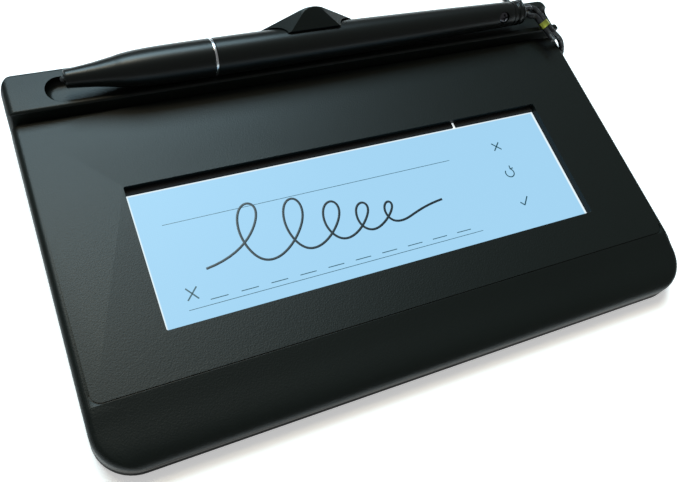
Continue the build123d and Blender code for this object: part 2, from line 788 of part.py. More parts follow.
# Screws, feet and the cable gland
with BuildPart() as case_screws:
    with Locations([(x, y, foot_height) for x, y in screw_places]):
        Cylinder(screw_head_radius, screw_head_height, align=(Align.CENTER, Align.CENTER, Align.MIN))
    with Locations([(x, y, foot_height + screw_head_height) for x, y in screw_places]):
        Cylinder(screw_radius, screw_length, align=(Align.CENTER, Align.CENTER, Align.MIN))
    with BuildSketch(Plane(origin=(0, 0, foot_height))):
        with Locations(screw_places):
            Rectangle(screw_radius / 3, 2 * screw_radius)
            Rectangle(2 * screw_radius, screw_radius / 3)
    extrude(amount=screw_head_height / 2, mode=Mode.SUBTRACT)
case_screws.part.label = "case_screws"

with BuildPart() as rubber_feet:
    with Locations([(x, y, 0) for x, y in foot_places]):
        upward = (Align.CENTER, Align.CENTER, Align.MIN)
        Cylinder(foot_radius - fit_clearance, foot_height + foot_recess, align=upward)
    foot_faces = rubber_feet.faces().filter_by(lambda face: face.center().Z < fit_clearance)
    fillet(foot_faces.edges(), foot_recess / 2)
rubber_feet.part.label = "rubber_feet"

gland_plane = Plane(origin=(0, rear_y, gland_height), x_dir=(0, 1, 0), z_dir=(1, 0, 0))
with BuildPart() as cable_gland:
    with BuildSketch(gland_plane):
        with BuildLine():
            Polyline(
                (gland_flange, cable_radius),
                (gland_flange, gland_flange_radius),
                (0, gland_flange_radius),
                (0, gland_radius),
                (-case_wall, gland_radius),
                (-case_wall, gland_flange_radius - fit_clearance),
                (-case_wall - gland_flange, gland_radius),
                (-case_wall - gland_flange, cable_radius),
                close=True,
            )
        make_face()
    revolve(axis=Axis((0, rear_y, gland_height), (0, 1, 0)))
    fillet(cable_gland.edges().group_by(Axis.Y)[-1].sort_by(SortBy.LENGTH)[-1], gland_flange / 3)
cable_gland.part.label = "cable_gland"

# Pen: turned pieces in a row, all drawn as profiles beside the pen's axis, with its nose at the left
pen_plane = Plane(origin=(pen_nose_place, pen_y, pen_z), x_dir=(1, 0, 0), z_dir=(0, -1, 0))
pen_axis = Axis(pen_plane.origin, (1, 0, 0))
nib_bore_radius = nib_radius + fit_clearance / 2
tenon_end = pen_grip_length + pen_tenon_length
barrel_start = pen_grip_length + pen_ring_width
socket_radius = pen_tenon_radius + fit_clearance / 2
cap_tenon_radius = pen_bore_radius - fit_clearance / 2

with BuildPart() as pen_grip:
    with BuildSketch(pen_plane):
        with BuildLine():
            Spline(
                (0, pen_nose_radius),
                (pen_cone_length, pen_cone_radius),
                (pen_shoulder_length, pen_shoulder_radius),
                (pen_grip_length, pen_radius),
            )
            Polyline(
                (pen_grip_length, pen_radius),
                (pen_grip_length, pen_tenon_radius),
                (tenon_end, pen_tenon_radius),
                (tenon_end, pen_bore_radius),
                (pen_chamber_place, pen_bore_radius),
                (pen_chamber_place, nib_bore_radius),
                (0, nib_bore_radius),
                (0, pen_nose_radius),
            )
        make_face()
    revolve(axis=pen_axis)
pen_grip.part.label = "pen_grip"

with BuildPart() as pen_ring:
    with BuildSketch(pen_plane):
        with Locations((pen_grip_length, pen_tenon_radius)):
            ring_height = pen_radius + pen_ring_step - pen_tenon_radius
            Rectangle(pen_ring_width, ring_height, align=(Align.MIN, Align.MIN))
    revolve(axis=pen_axis)
pen_ring.part.label = "pen_ring"

screw_plane = Plane(
    origin=(pen_nose_place + pen_screw_place, pen_y, pen_z),
    x_dir=(1, 0, 0),
    z_dir=(0, -cos(radians(pen_screw_lean)), sin(radians(pen_screw_lean))),
)
screw_seat = pen_barrel_end_radius - pen_screw_head_height

with BuildPart() as pen_barrel:
    with BuildSketch(pen_plane):
        with BuildLine():
            Spline(
                (barrel_start, pen_radius),
                ((barrel_start + pen_barrel_end) / 2, pen_barrel_middle_radius),
                (pen_barrel_end, pen_barrel_end_radius),
            )
            Polyline(
                (pen_barrel_end, pen_barrel_end_radius),
                (pen_barrel_end, pen_bore_radius),
                (tenon_end + fit_clearance, pen_bore_radius),
                (tenon_end + fit_clearance, socket_radius),
                (barrel_start, socket_radius),
                (barrel_start, pen_radius),
            )
        make_face()
    revolve(axis=pen_axis)
    with BuildSketch(screw_plane.offset(screw_seat)):
        Circle(pen_screw_head_radius + fit_clearance)
    extrude(amount=pen_radius, mode=Mode.SUBTRACT)
    with BuildSketch(screw_plane):
        Circle(pen_screw_radius + fit_clearance)
    extrude(amount=pen_radius, mode=Mode.SUBTRACT)
pen_barrel.part.label = "pen_barrel"

cap_step = (pen_length - pen_barrel_end) / 5
ridge_radius = pen_barrel_end_radius - pen_cap_ridge
eyelet_plane = Plane(
    origin=(pen_nose_place + pen_length, pen_y, pen_z),
    x_dir=(1, 0, 0),
    z_dir=(0, -sin(radians(eyelet_lean)), cos(radians(eyelet_lean))),
)
with BuildPart() as pen_end_cap:
    with BuildSketch(pen_plane):
        with BuildLine():
            Polyline(
                (pen_barrel_end - pen_cap_tenon_length, 0),
                (pen_barrel_end - pen_cap_tenon_length, cap_tenon_radius),
                (pen_barrel_end, cap_tenon_radius),
                (pen_barrel_end, pen_barrel_end_radius),
                (pen_barrel_end + cap_step, pen_barrel_end_radius),
                (pen_barrel_end + cap_step, ridge_radius),
                (pen_barrel_end + 2 * cap_step, ridge_radius),
                (pen_barrel_end + 2 * cap_step, pen_barrel_end_radius),
                (pen_barrel_end + 3 * cap_step, pen_barrel_end_radius),
                (pen_barrel_end + 3 * cap_step, ridge_radius),
                (pen_barrel_end + 4 * cap_step, ridge_radius),
                (pen_barrel_end + 4 * cap_step, pen_barrel_end_radius),
                (pen_length, pen_barrel_end_radius),
                (pen_length, 0),
                close=True,
            )
        make_face()
    revolve(axis=pen_axis)
    fillet(pen_end_cap.edges().sort_by(Axis.X)[-1], 0.8 * cap_step)
    with BuildSketch(screw_plane.offset(screw_seat - pen_screw_length - fit_clearance)):
        Circle(pen_screw_radius)
    extrude(amount=pen_screw_length, mode=Mode.SUBTRACT)
    with BuildSketch(eyelet_plane.offset(-eyelet_thickness / 2)):
        Rectangle(2 * eyelet_root, 2 * eyelet_half_width)
    extrude(amount=eyelet_thickness, mode=Mode.SUBTRACT)
pen_end_cap.part.label = "pen_end_cap"

with BuildPart() as pen_eyelet:
    with BuildSketch(eyelet_plane.offset(-eyelet_thickness / 2)):
        with Locations((-eyelet_root, 0)):
            plate_length = eyelet_root + eyelet_reach - eyelet_half_width
            Rectangle(plate_length, 2 * eyelet_half_width, align=(Align.MIN, Align.CENTER))
        with Locations((eyelet_reach - eyelet_half_width, 0)):
            Circle(eyelet_half_width)
            Circle(eyelet_hole_radius, mode=Mode.SUBTRACT)
    extrude(amount=eyelet_thickness)
pen_eyelet.part.label = "pen_eyelet"

with BuildPart() as pen_screw:
    with BuildSketch(screw_plane.offset(screw_seat)):
        Circle(pen_screw_head_radius)
    extrude(amount=pen_screw_head_height)
    with BuildSketch(screw_plane.offset(screw_seat)):
        Circle(pen_screw_radius - fit_clearance / 2)
    extrude(amount=-pen_screw_length)
    with BuildSketch(screw_plane.offset(screw_seat + pen_screw_head_height)):
        Rectangle(pen_screw_head_radius, pen_screw_head_radius / 4)
        Rectangle(pen_screw_head_radius / 4, pen_screw_head_radius)
    extrude(amount=-pen_screw_head_height / 2, mode=Mode.SUBTRACT)
pen_screw.part.label = "pen_screw"

# Inside the pen: the nib with its collar, the spring behind it, the coil, the switch that the nib presses
# and the narrow circuit board
collar_place = pen_chamber_place + fit_clearance / 2
collar_end = collar_place + nib_collar_length
nib_end = nib_length - nib_reach
with BuildPart() as pen_nib:
    with BuildSketch(pen_plane):
        with BuildLine():
            Polyline(
                (-nib_reach, 0),
                (-nib_reach, nib_radius),
                (collar_place, nib_radius),
                (collar_place, nib_collar_radius),
                (collar_end, nib_collar_radius),
                (collar_end, nib_radius),
                (nib_end, nib_radius),
                (nib_end, 0),
                close=True,
            )
        make_face()
    revolve(axis=pen_axis)
    fillet(pen_nib.edges().sort_by(Axis.X)[0], 0.8 * nib_radius)
pen_nib.part.label = "pen_nib"

with BuildPart() as nib_spring:
    with BuildSketch(pen_plane):
        with Locations((collar_end, spring_radius)):
            Rectangle(pen_coil_place - collar_end, 2 * spring_wire, align=(Align.MIN, Align.CENTER))
    revolve(axis=pen_axis)
nib_spring.part.label = "nib_spring"

with BuildPart() as pen_coil:
    with BuildSketch(pen_plane):
        with Locations((pen_coil_place, pen_coil_bore_radius)):
            coil_wall = cap_tenon_radius - pen_coil_bore_radius
            Rectangle(pen_coil_length, coil_wall, align=(Align.MIN, Align.MIN))
    revolve(axis=pen_axis)
pen_coil.part.label = "pen_coil"

switch_place = nib_end + nib_travel + fit_clearance
with BuildPart() as pen_switch:
    with BuildSketch(Plane(origin=(pen_nose_place + switch_place, pen_y, pen_z), z_dir=(1, 0, 0))):
        Circle(cap_tenon_radius)
    extrude(amount=pen_switch_length)
pen_switch.part.label = "pen_switch"

with BuildPart() as pen_board:
    board_start = pen_nose_place + switch_place + pen_switch_length
    with BuildSketch(Plane(origin=(board_start, pen_y, pen_z - pen_board_thickness / 2))):
        Rectangle(pen_board_length, pen_board_width, align=(Align.MIN, Align.CENTER))
    extrude(amount=pen_board_thickness)
pen_board.part.label = "pen_board"


# Tether: a thin limp cord. Each stretch is a round tube along straight runs joined by tangent arcs
cord_radius = cord_diameter / 2


def cord_path(points, limit):
    # Arc radii of a route: each arc is as large as its two runs and its turn allow
    corners = [Vector(*point) for point in points]
    radii = []
    for before, corner, after in zip(corners, corners[1:], corners[2:]):
        first = corner - before
        second = after - corner
        half_turn = radians(first.get_angle(second)) / 2
        radii.append(min(limit, 0.45 * min(first.length, second.length) / tan(half_turn)))
    return radii


def cord_tube(name, points, limit):
    radii = cord_path(points, limit)
    print(name, "arc radii", [round(radius, 1) for radius in radii])
    start = Vector(*points[0])
    with BuildPart() as tube:
        with BuildLine():
            route = FilletPolyline(*points, radius=radii)
        with BuildSketch(Plane(origin=start, z_dir=Vector(*points[1]) - start)):
            Circle(cord_radius)
        sweep(path=route)
    length = route.length
    expected = pi * cord_radius ** 2 * length
    print(name, "length", round(length, 1), "volume share", round(tube.part.volume / expected, 3))
    tube.part.label = name
    return tube, route


loop_route = [
    (67.73, 34.07, 19.60),
    (67.04, 35.55, 20.08),
    (64.10, 35.44, 20.87),
    (64.10, 39.24, 20.87),
    (67.60, 38.70, 20.50),
    (68.58, 36.27, 20.08),
    (69.27, 34.79, 19.60),
]
crimp_start = (68.50, 34.43, 19.60)
crimp_way = Vector(0.407, -0.868, -0.281).normalized()
crimp_side = crimp_way.cross(Vector(0, 0, 1)).normalized()
crimp_end = Vector(*crimp_start) + crimp_way * crimp_length
strand_shift = crimp_side * (cord_diameter + strand_gap) / 2
tail_start = crimp_end + strand_shift
lead_start = crimp_end - strand_shift

tail_route = [
    tuple(tail_start),
    tuple(tail_start + crimp_way * tail_straight),
    (69.75, 27.90, 18.10),
]
lead_route = [
    tuple(lead_start),
    tuple(lead_start + crimp_way * lead_straight),
    (77.4, 25.0, 17.9),
    (81.2, 24.5, 13.4),
    (81.2, 24.5, 9.0),
]
run_route = [
    (81.2, 24.5, 9.0),
    (81.2, 24.5, 4.4),
    (81.2, 28.6, 1.1),
    (81.4, 37.0, 0.95),
    (82.6, 46.0, 0.95),
    (84.0, 58.0, 0.95),
    (87.5, 68.0, 0.95),
    (90.0, 78.0, 0.95),
    (82.0, 88.0, 1.2),
    (65.0, 91.24, 1.55),
    (54.0, 89.1, 1.55),
]
end_route = [
    (47.5, 72.16, 3.95),
    (62.0, 69.34, 3.3),
    (71.5, 68.0, 0.95),
    (78.5, 66.5, 0.95),
    (80.4, 59.0, 0.95),
    (78.5, 52.0, 0.95),
    (70.0, 51.6, 0.95),
    (61.0, 54.5, 3.0),
    (58.0, 51.0, 8.5),
    (58.0, 44.8, 8.5),
]
tether_loop = cord_tube("tether_loop", loop_route, overrun)[0]
tether_tail = cord_tube("tether_tail", tail_route, overrun)[0]
tether_lead = cord_tube("tether_lead", lead_route, overrun)[0]
tether_run = cord_tube("tether_run", run_route, overrun)[0]
tether_end = cord_tube("tether_end", end_route, overrun)[0]

# Hank: three loops in two layers, drawn in at the waist. The inner loop is shorter by a turn
hank_pitch = cord_diameter + hank_loop_gap
hank_low = tie_thickness + tie_gap + cord_radius
hank_high = hank_low + cord_diameter + hank_layer_gap
hank_inner = hank_half_width - hank_pitch
hank_right = hank_half_length
hank_left = -hank_half_length
hank_inner_left = hank_left + hank_pitch


def hank_run(start, end, half_width_here, height, next_height):
    # One run of a loop, from an end through the waist to the other end
    draw = hank_waist_draw if half_width_here > 0 else -hank_waist_draw
    return [
        (hank_middle_x + start, hank_middle_y + half_width_here, height),
        (hank_middle_x, hank_middle_y + half_width_here - draw, (height + next_height) / 2),
        (hank_middle_x + end, hank_middle_y + half_width_here, next_height),
    ]


def least_gap(line, apart, marks):
    # Least distance between the surfaces of a cord's stretches that lie further apart along it
    places = [line @ (mark / marks) for mark in range(marks + 1)]
    step = line.length / marks
    skip = int(apart / step)
    return min(
        (places[first] - place).length - cord_diameter
        for second, place in enumerate(places)
        for first in range(second - skip)
    )


hank_route = (
    hank_run(hank_right, hank_left, hank_half_width, hank_low, hank_low)
    + hank_run(hank_left, hank_right, -hank_half_width, hank_low, hank_low)
    + hank_run(hank_right, hank_inner_left, hank_inner, hank_low, hank_high)
    + hank_run(hank_inner_left, hank_right, -hank_inner, hank_high, hank_high)
    + hank_run(hank_right, hank_left, hank_half_width, hank_high, hank_high)
    + hank_run(hank_left, hank_right, -hank_half_width, hank_high, hank_high)[:2]
    + [end_route[0]]
)
tether_hank, hank_line = cord_tube("tether_hank", hank_route, overrun)
print("tether_hank least gap to itself", round(least_gap(hank_line, hank_pitch * gap_reach, gap_marks), 2))

with BuildPart() as tether_crimp:
    with BuildSketch(Plane(origin=crimp_start, x_dir=crimp_side, z_dir=crimp_way)):
        crimp_height = cord_diameter + 2 * crimp_wall
        SlotOverall(2 * cord_diameter + strand_gap + 2 * crimp_wall, crimp_height)
    extrude(amount=crimp_length)
tether_crimp.part.label = "tether_crimp"

with BuildPart() as hank_tie:
    tie_inner_width = 2 * (hank_half_width - hank_waist_draw + cord_radius + hank_waist_round)
    tie_inner_height = hank_high + cord_radius + tie_gap - tie_thickness
    tie_origin = (hank_middle_x - tie_width / 2, hank_middle_y, 0)
    with BuildSketch(Plane(origin=tie_origin, x_dir=(0, 1, 0), z_dir=(1, 0, 0))):
        with Locations((0, tie_thickness + tie_inner_height / 2)):
            tie_outer_width = tie_inner_width + 2 * tie_thickness
            tie_outer_height = tie_inner_height + 2 * tie_thickness
            RectangleRounded(tie_outer_width, tie_outer_height, tie_thickness + tie_gap)
            RectangleRounded(tie_inner_width, tie_inner_height, tie_gap, mode=Mode.SUBTRACT)
    extrude(amount=tie_width)
hank_tie.part.label = "hank_tie"

anchor_axis = Axis((anchor_place, rear_y, anchor_height), (0, 1, 0))
with BuildPart() as tether_anchor:
    with BuildSketch(Plane(origin=anchor_axis.position, x_dir=(0, 1, 0), z_dir=(-1, 0, 0))):
        with BuildLine():
            Polyline(
                (anchor_flange, 0),
                (anchor_flange, anchor_radius),
                (0, anchor_flange_radius),
                (0, anchor_radius),
                (-case_wall, anchor_radius),
                (-case_wall, anchor_flange_radius - fit_clearance),
                (-case_wall - anchor_flange, anchor_flange_radius - fit_clearance),
                (-case_wall - anchor_flange, 0),
                close=True,
            )
        make_face()
    revolve(axis=anchor_axis)
tether_anchor.part.label = "tether_anchor"

pieces = [
    base_case, top_cover, pen_tray, pen_hood, dust_seal, display_window, lcd_glass, light_guide, light_frame,
    sensor_board, display_screws, main_board, board_screws, ribbon_connectors, processor_chip, regulator_chip,
    clock_crystal, board_capacitors, cable_header, display_ribbon, sensor_ribbon, case_screws, rubber_feet,
    cable_gland, pen_grip, pen_ring, pen_barrel, pen_end_cap, pen_eyelet, pen_screw, pen_nib, nib_spring,
    pen_coil, pen_switch, pen_board, tether_loop, tether_crimp, tether_tail, tether_lead, tether_run,
    tether_hank, tether_end, hank_tie, tether_anchor,
]
for piece in pieces:
    export_step(piece.part, "parts/" + piece.part.label + ".step")
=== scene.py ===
# %% [markdown]
# A signature pad stands on a table: a low, wedge-shaped housing of black moulded plastic with a lit display
# let into its sloping deck. A tray along the back holds a pen under a small hood, and the pen hangs on a thin
# cord. The solid model is loaded as a fixed frame, in metres, and everything below is added to that frame.

import bmesh
import bpy
import json
import math
from mathutils import Matrix, Vector


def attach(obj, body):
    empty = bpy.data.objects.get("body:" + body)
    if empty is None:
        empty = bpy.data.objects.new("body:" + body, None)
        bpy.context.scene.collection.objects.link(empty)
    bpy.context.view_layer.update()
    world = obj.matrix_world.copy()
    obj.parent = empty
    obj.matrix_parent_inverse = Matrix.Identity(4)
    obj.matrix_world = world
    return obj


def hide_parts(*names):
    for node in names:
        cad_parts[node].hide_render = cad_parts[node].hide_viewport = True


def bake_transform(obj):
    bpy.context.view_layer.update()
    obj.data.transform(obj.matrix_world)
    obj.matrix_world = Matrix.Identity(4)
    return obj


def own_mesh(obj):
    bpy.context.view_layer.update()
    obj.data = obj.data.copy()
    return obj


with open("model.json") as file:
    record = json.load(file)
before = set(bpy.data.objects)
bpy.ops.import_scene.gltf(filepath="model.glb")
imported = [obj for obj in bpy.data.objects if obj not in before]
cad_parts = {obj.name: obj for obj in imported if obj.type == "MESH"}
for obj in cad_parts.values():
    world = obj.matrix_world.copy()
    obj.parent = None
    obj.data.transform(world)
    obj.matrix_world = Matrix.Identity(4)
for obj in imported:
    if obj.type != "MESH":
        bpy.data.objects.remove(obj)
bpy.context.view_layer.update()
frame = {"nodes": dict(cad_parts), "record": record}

# %% [markdown]
# The camera comes first, because the cord has to lie where this camera sees it. It stands close to the pad, a
# little to its left and well above it, so the near left corner looks large and the far right corner small.
# Its three axes are given as columns of a turn, which leaves no doubt about its tilt.

# %% Camera
MM = 0.001
camera_data = bpy.data.cameras.new("camera")
camera_data.sensor_width = 36.0
camera_data.lens = 38.76
camera_data.clip_start = 0.002
camera_data.clip_end = 20.0
camera = bpy.data.objects.new("camera", camera_data)
bpy.context.scene.collection.objects.link(camera)
camera_right = Vector((0.9027, -0.3697, 0.2200)).normalized()
camera_up = Vector((0.2325, 0.8495, 0.4736)).normalized()
camera_back = camera_right.cross(camera_up)
turn = Matrix((camera_right, camera_up, camera_back)).transposed().to_4x4()
camera.matrix_world = Matrix.Translation(Vector((-74.3, -76.87, 155.68)) * MM) @ turn
bpy.context.scene.camera = camera
print("camera at", [round(c, 4) for c in camera.location], "lens", camera_data.lens)

# %% [markdown]
# The deck slopes by three degrees. Places on it are easiest to give in its own measure: across, along the
# slope, and above its surface. This helper turns such a place into one of the frame, in metres. The display's
# window lies a little below the deck, at the glass level.

# %% Places on the deck
SLOPE = math.radians(3.0)
DECK_HEIGHT = 12.0
MIDDLE_Y = -1.95
GLASS_LEVEL = -2.1


def deck_place(across, along, above):
    y = MIDDLE_Y + along * math.cos(SLOPE) - above * math.sin(SLOPE)
    z = DECK_HEIGHT + along * math.sin(SLOPE) + above * math.cos(SLOPE)
    return Vector((across, y, z)) * MM


print("rear edge of the deck", [round(c, 4) for c in deck_place(0, 34.4, 0)])

# %% [markdown]
# Materials are networks of nodes, and a few kinds come back in nearly all of them: a range that is mapped to
# another, a mix of two colours, two values combined, and a bump. Each gets a small helper.

# %% Helpers for shader nodes
def node(tree, kind, **settings):
    made = tree.nodes.new("ShaderNode" + kind)
    for key, value in settings.items():
        setattr(made, key, value)
    return made


def ramped(tree, value, **limits):
    # Maps a value to another range; the limits are named as on the node, such as To_Min=0.4
    made = node(tree, "MapRange")
    for key, number in limits.items():
        made.inputs[key.replace("_", " ")].default_value = number
    tree.links.new(value, made.inputs["Value"])
    return made.outputs["Result"]


def mixed(tree, share, first, second):
    # Mixes two colours; each is given as numbers or as the output of another node
    made = node(tree, "Mix", data_type="RGBA")
    tree.links.new(share, made.inputs[0])
    for socket, colour in ((made.inputs[6], first), (made.inputs[7], second)):
        if isinstance(colour, bpy.types.NodeSocket):
            tree.links.new(colour, socket)
        else:
            socket.default_value = (*colour, 1.0)
    return made.outputs[2]


def combined(tree, operation, first, second):
    made = node(tree, "Math", operation=operation)
    tree.links.new(first, made.inputs[0])
    tree.links.new(second, made.inputs[1])
    return made.outputs[0]


def add_bump(tree, shader, height, strength, depth):
    bump = node(tree, "Bump")
    bump.inputs["Strength"].default_value = strength
    bump.inputs["Distance"].default_value = depth * MM
    tree.links.new(height, bump.inputs["Height"])
    tree.links.new(bump.outputs["Normal"], shader.inputs["Normal"])


print("node helpers: node, ramped, mixed, combined, add_bump")

# %% [markdown]
# Moulded plastic is never one flat colour. Its grain scatters light, rubbed edges are a little smoother and
# paler, and dust and finger marks change the gloss in soft patches. Each of these effects is a node group,
# built once and used in many materials with other values.

# %% Shared shader groups
def shader_group(name, inputs, outputs):
    group = bpy.data.node_groups.new(name, "ShaderNodeTree")
    for label, kind, default in inputs:
        socket = group.interface.new_socket(label, in_out="INPUT", socket_type=kind)
        socket.default_value = default
    for label, kind in outputs:
        group.interface.new_socket(label, in_out="OUTPUT", socket_type=kind)
    return group, group.nodes.new("NodeGroupInput"), group.nodes.new("NodeGroupOutput")


def grain_group():
    # Fine spark-eroded grain of a mould, as a height between 0 and 1
    inputs = [("Scale", "NodeSocketFloat", 2600.0), ("Roughness", "NodeSocketFloat", 0.6)]
    group, start, end = shader_group("mould_grain", inputs, [("Height", "NodeSocketFloat")])
    place = node(group, "TexCoord")
    noise = node(group, "TexNoise")
    noise.inputs["Detail"].default_value = 3.0
    group.links.new(place.outputs["Object"], noise.inputs["Vector"])
    group.links.new(start.outputs["Scale"], noise.inputs["Scale"])
    group.links.new(start.outputs["Roughness"], noise.inputs["Roughness"])
    cells = node(group, "TexVoronoi", feature="SMOOTH_F1")
    group.links.new(place.outputs["Object"], cells.inputs["Vector"])
    group.links.new(start.outputs["Scale"], cells.inputs["Scale"])
    blend = node(group, "Mix", data_type="FLOAT")
    blend.inputs[0].default_value = 0.45
    group.links.new(noise.outputs["Fac"], blend.inputs[2])
    group.links.new(cells.outputs["Distance"], blend.inputs[3])
    group.links.new(blend.outputs[0], end.inputs["Height"])
    return group


def handling_group():
    # Soft patches where hands and cloths have passed, as a mask between 0 and 1
    inputs = [("Scale", "NodeSocketFloat", 26.0), ("Amount", "NodeSocketFloat", 1.0)]
    group, start, end = shader_group("handling_marks", inputs, [("Mask", "NodeSocketFloat")])
    place = node(group, "TexCoord")
    noise = node(group, "TexNoise")
    noise.inputs["Detail"].default_value = 4.0
    noise.inputs["Distortion"].default_value = 0.6
    group.links.new(place.outputs["Object"], noise.inputs["Vector"])
    group.links.new(start.outputs["Scale"], noise.inputs["Scale"])
    patches = ramped(group, noise.outputs["Fac"], From_Min=0.35, From_Max=0.7)
    mask = combined(group, "MULTIPLY", patches, start.outputs["Amount"])
    group.links.new(mask, end.inputs["Mask"])
    return group


def edge_group():
    # Edges that hands rub: a mask from the pointiness of the surface
    inputs = [("Low", "NodeSocketFloat", 0.52), ("High", "NodeSocketFloat", 0.60)]
    group, start, end = shader_group("rubbed_edges", inputs, [("Mask", "NodeSocketFloat")])
    shape = node(group, "NewGeometry")
    ramp = node(group, "MapRange")
    group.links.new(shape.outputs["Pointiness"], ramp.inputs["Value"])
    group.links.new(start.outputs["Low"], ramp.inputs["From Min"])
    group.links.new(start.outputs["High"], ramp.inputs["From Max"])
    group.links.new(ramp.outputs["Result"], end.inputs["Mask"])
    return group


GRAIN = grain_group()
HANDLING = handling_group()
EDGES = edge_group()
print("shader groups", [g.name for g in bpy.data.node_groups])

# %% [markdown]
# Most finishes of the pad are variations on one recipe: a base colour that handling marks lighten, a
# roughness that they lower, and a bump from the grain. The recipe is a function, and each finish calls it
# with values.

# %% Recipe for moulded finishes
def use_group(tree, group, **values):
    made = tree.nodes.new("ShaderNodeGroup")
    made.node_tree = group
    for key, value in values.items():
        made.inputs[key].default_value = value
    return made


def fresh_material(name):
    material = bpy.data.materials.new(name)
    material.use_nodes = True
    return material, material.node_tree, material.node_tree.nodes["Principled BSDF"]


def moulded(name, colour, worn, rough, rough_worn, grain_scale, grain_depth, marks=26.0, specular=0.5):
    material, tree, shader = fresh_material(name)
    shader.inputs["Specular IOR Level"].default_value = specular
    handling = use_group(tree, HANDLING, Scale=marks, Amount=0.8)
    edges = use_group(tree, EDGES)
    touched = combined(tree, "MAXIMUM", handling.outputs["Mask"], edges.outputs["Mask"])
    tree.links.new(mixed(tree, touched, colour, worn), shader.inputs["Base Color"])
    tree.links.new(ramped(tree, touched, To_Min=rough, To_Max=rough_worn), shader.inputs["Roughness"])
    grain = use_group(tree, GRAIN, Scale=grain_scale)
    add_bump(tree, shader, grain.outputs["Height"], 0.5, grain_depth)
    return material


case_black = moulded(
    "case_plastic", (0.0030, 0.0045, 0.0035), (0.0042, 0.0060, 0.0048), 0.44, 0.40, 3000.0, 0.08, specular=0.2
)
base_black = moulded(
    "base_plastic", (0.0030, 0.0040, 0.0034), (0.0040, 0.0052, 0.0044), 0.62, 0.56, 2600.0, 0.08,
    specular=0.05,
)
pen_black = moulded(
    "pen_plastic", (0.0030, 0.0038, 0.0032), (0.0040, 0.0050, 0.0042), 0.34, 0.30, 3000.0, 0.012,
    specular=0.27,
)
rubber_black = moulded("foot_rubber", (0.012, 0.012, 0.013), (0.020, 0.020, 0.020), 0.75, 0.65, 1500.0, 0.03)
chip_black = moulded("chip_plastic", (0.02, 0.02, 0.022), (0.03, 0.03, 0.03), 0.5, 0.45, 2500.0, 0.01)
board_green = moulded("circuit_board", (0.012, 0.09, 0.045), (0.016, 0.12, 0.06), 0.30, 0.35, 900.0, 0.02)
tie_black = moulded("tie_plastic", (0.02, 0.02, 0.02), (0.03, 0.03, 0.03), 0.45, 0.40, 1200.0, 0.02)
print("moulded finishes", len(bpy.data.materials))

# %% [markdown]
# Metal parts are small: the ring on the pen, screws, the eyelet and the crimp on the cord. Turned metal has
# fine lines round its axis, which a stretched noise gives, and a roughness that varies a little along them.

# %% Recipe for metal
def turned_metal(name, colour, rough, line_scale=(400.0, 6000.0, 6000.0)):
    material, tree, shader = fresh_material(name)
    shader.inputs["Metallic"].default_value = 1.0
    place = node(tree, "TexCoord")
    mapping = node(tree, "Mapping")
    mapping.inputs["Scale"].default_value = line_scale
    lines = node(tree, "TexNoise")
    lines.inputs["Scale"].default_value = 1.0
    tree.links.new(place.outputs["Object"], mapping.inputs["Vector"])
    tree.links.new(mapping.outputs["Vector"], lines.inputs["Vector"])
    gloss = ramped(tree, lines.outputs["Fac"], To_Min=rough * 0.7, To_Max=rough * 1.4)
    tree.links.new(gloss, shader.inputs["Roughness"])
    tint = mixed(tree, lines.outputs["Fac"], colour, [c * 0.8 for c in colour])
    tree.links.new(tint, shader.inputs["Base Color"])
    return material


ring_metal = turned_metal("ring_metal", (0.80, 0.81, 0.83), 0.22, (6000.0, 300.0, 300.0))
steel = turned_metal("steel", (0.42, 0.42, 0.44), 0.30)
screw_steel = turned_metal("screw_steel", (0.10, 0.10, 0.11), 0.16)
crimp_metal = turned_metal("crimp_metal", (0.55, 0.60, 0.10), 0.35, (900.0, 900.0, 900.0))
copper = turned_metal("copper_coil", (0.65, 0.30, 0.15), 0.35, (9000.0, 300.0, 300.0))
print("metals", [m.name for m in (ring_metal, steel, screw_steel, crimp_metal, copper)])

# %% [markdown]
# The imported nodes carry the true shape, but their triangles are loose and shade flat. A visible housing piece
# is therefore dressed: a copy of the node is merged, its flat areas are joined into whole faces, curved areas
# are shaded smooth, and a narrow bevel along the sharp edges catches the light as a moulded edge does. The
# base stands in its own shade and is duller than the cover.

# %% Dress a node of the model
def link(piece, body, material):
    piece.data.materials.clear()
    piece.data.materials.append(material)
    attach(piece, body)
    return piece


def dress(node_name, name, body, material, bevel=0.15, smooth_below=28.0, flat_below=0.6):
    source = frame["nodes"][node_name]
    shape = bmesh.new()
    shape.from_mesh(source.data)
    bmesh.ops.remove_doubles(shape, verts=shape.verts, dist=0.002 * MM)
    bmesh.ops.dissolve_limit(
        shape, angle_limit=math.radians(flat_below), verts=shape.verts, edges=shape.edges,
        use_dissolve_boundaries=False,
    )
    mesh = bpy.data.meshes.new(name)
    shape.to_mesh(mesh)
    shape.free()
    piece = bpy.data.objects.new(name, mesh)
    bpy.context.scene.collection.objects.link(piece)
    mesh.shade_smooth()
    mesh.set_sharp_from_angle(angle=math.radians(smooth_below))
    if bevel > 0:
        edge = piece.modifiers.new("moulded_edges", "BEVEL")
        edge.width = bevel * MM
        edge.segments = 2
        edge.limit_method = "ANGLE"
        edge.angle_limit = math.radians(smooth_below)
        edge.harden_normals = False
        edge.use_clamp_overlap = True
    link(piece, body, material)
    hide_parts(node_name)
    return piece


housing = [
    dress("top_cover", "cover_shell", "case", case_black, bevel=0.18),
    dress("base_case", "base_shell", "case", base_black, bevel=0.15),
    dress("pen_tray", "tray_bar", "case", case_black, bevel=0.22),
    dress("pen_hood", "hood_shell", "case", case_black, bevel=0.35),
]
for piece in housing:
    print(piece.name, "faces", len(piece.data.polygons))

# %% [markdown]
# The nose in front of the crease turns away from the light at once, so it looks much darker than the deck. On
# the solid it bends away slowly. The skin of the nose is therefore pressed in a little just past the crease,
# deepest halfway down, and left alone at the crease and at the front edge. The dip eases in over the first
# millimetre.

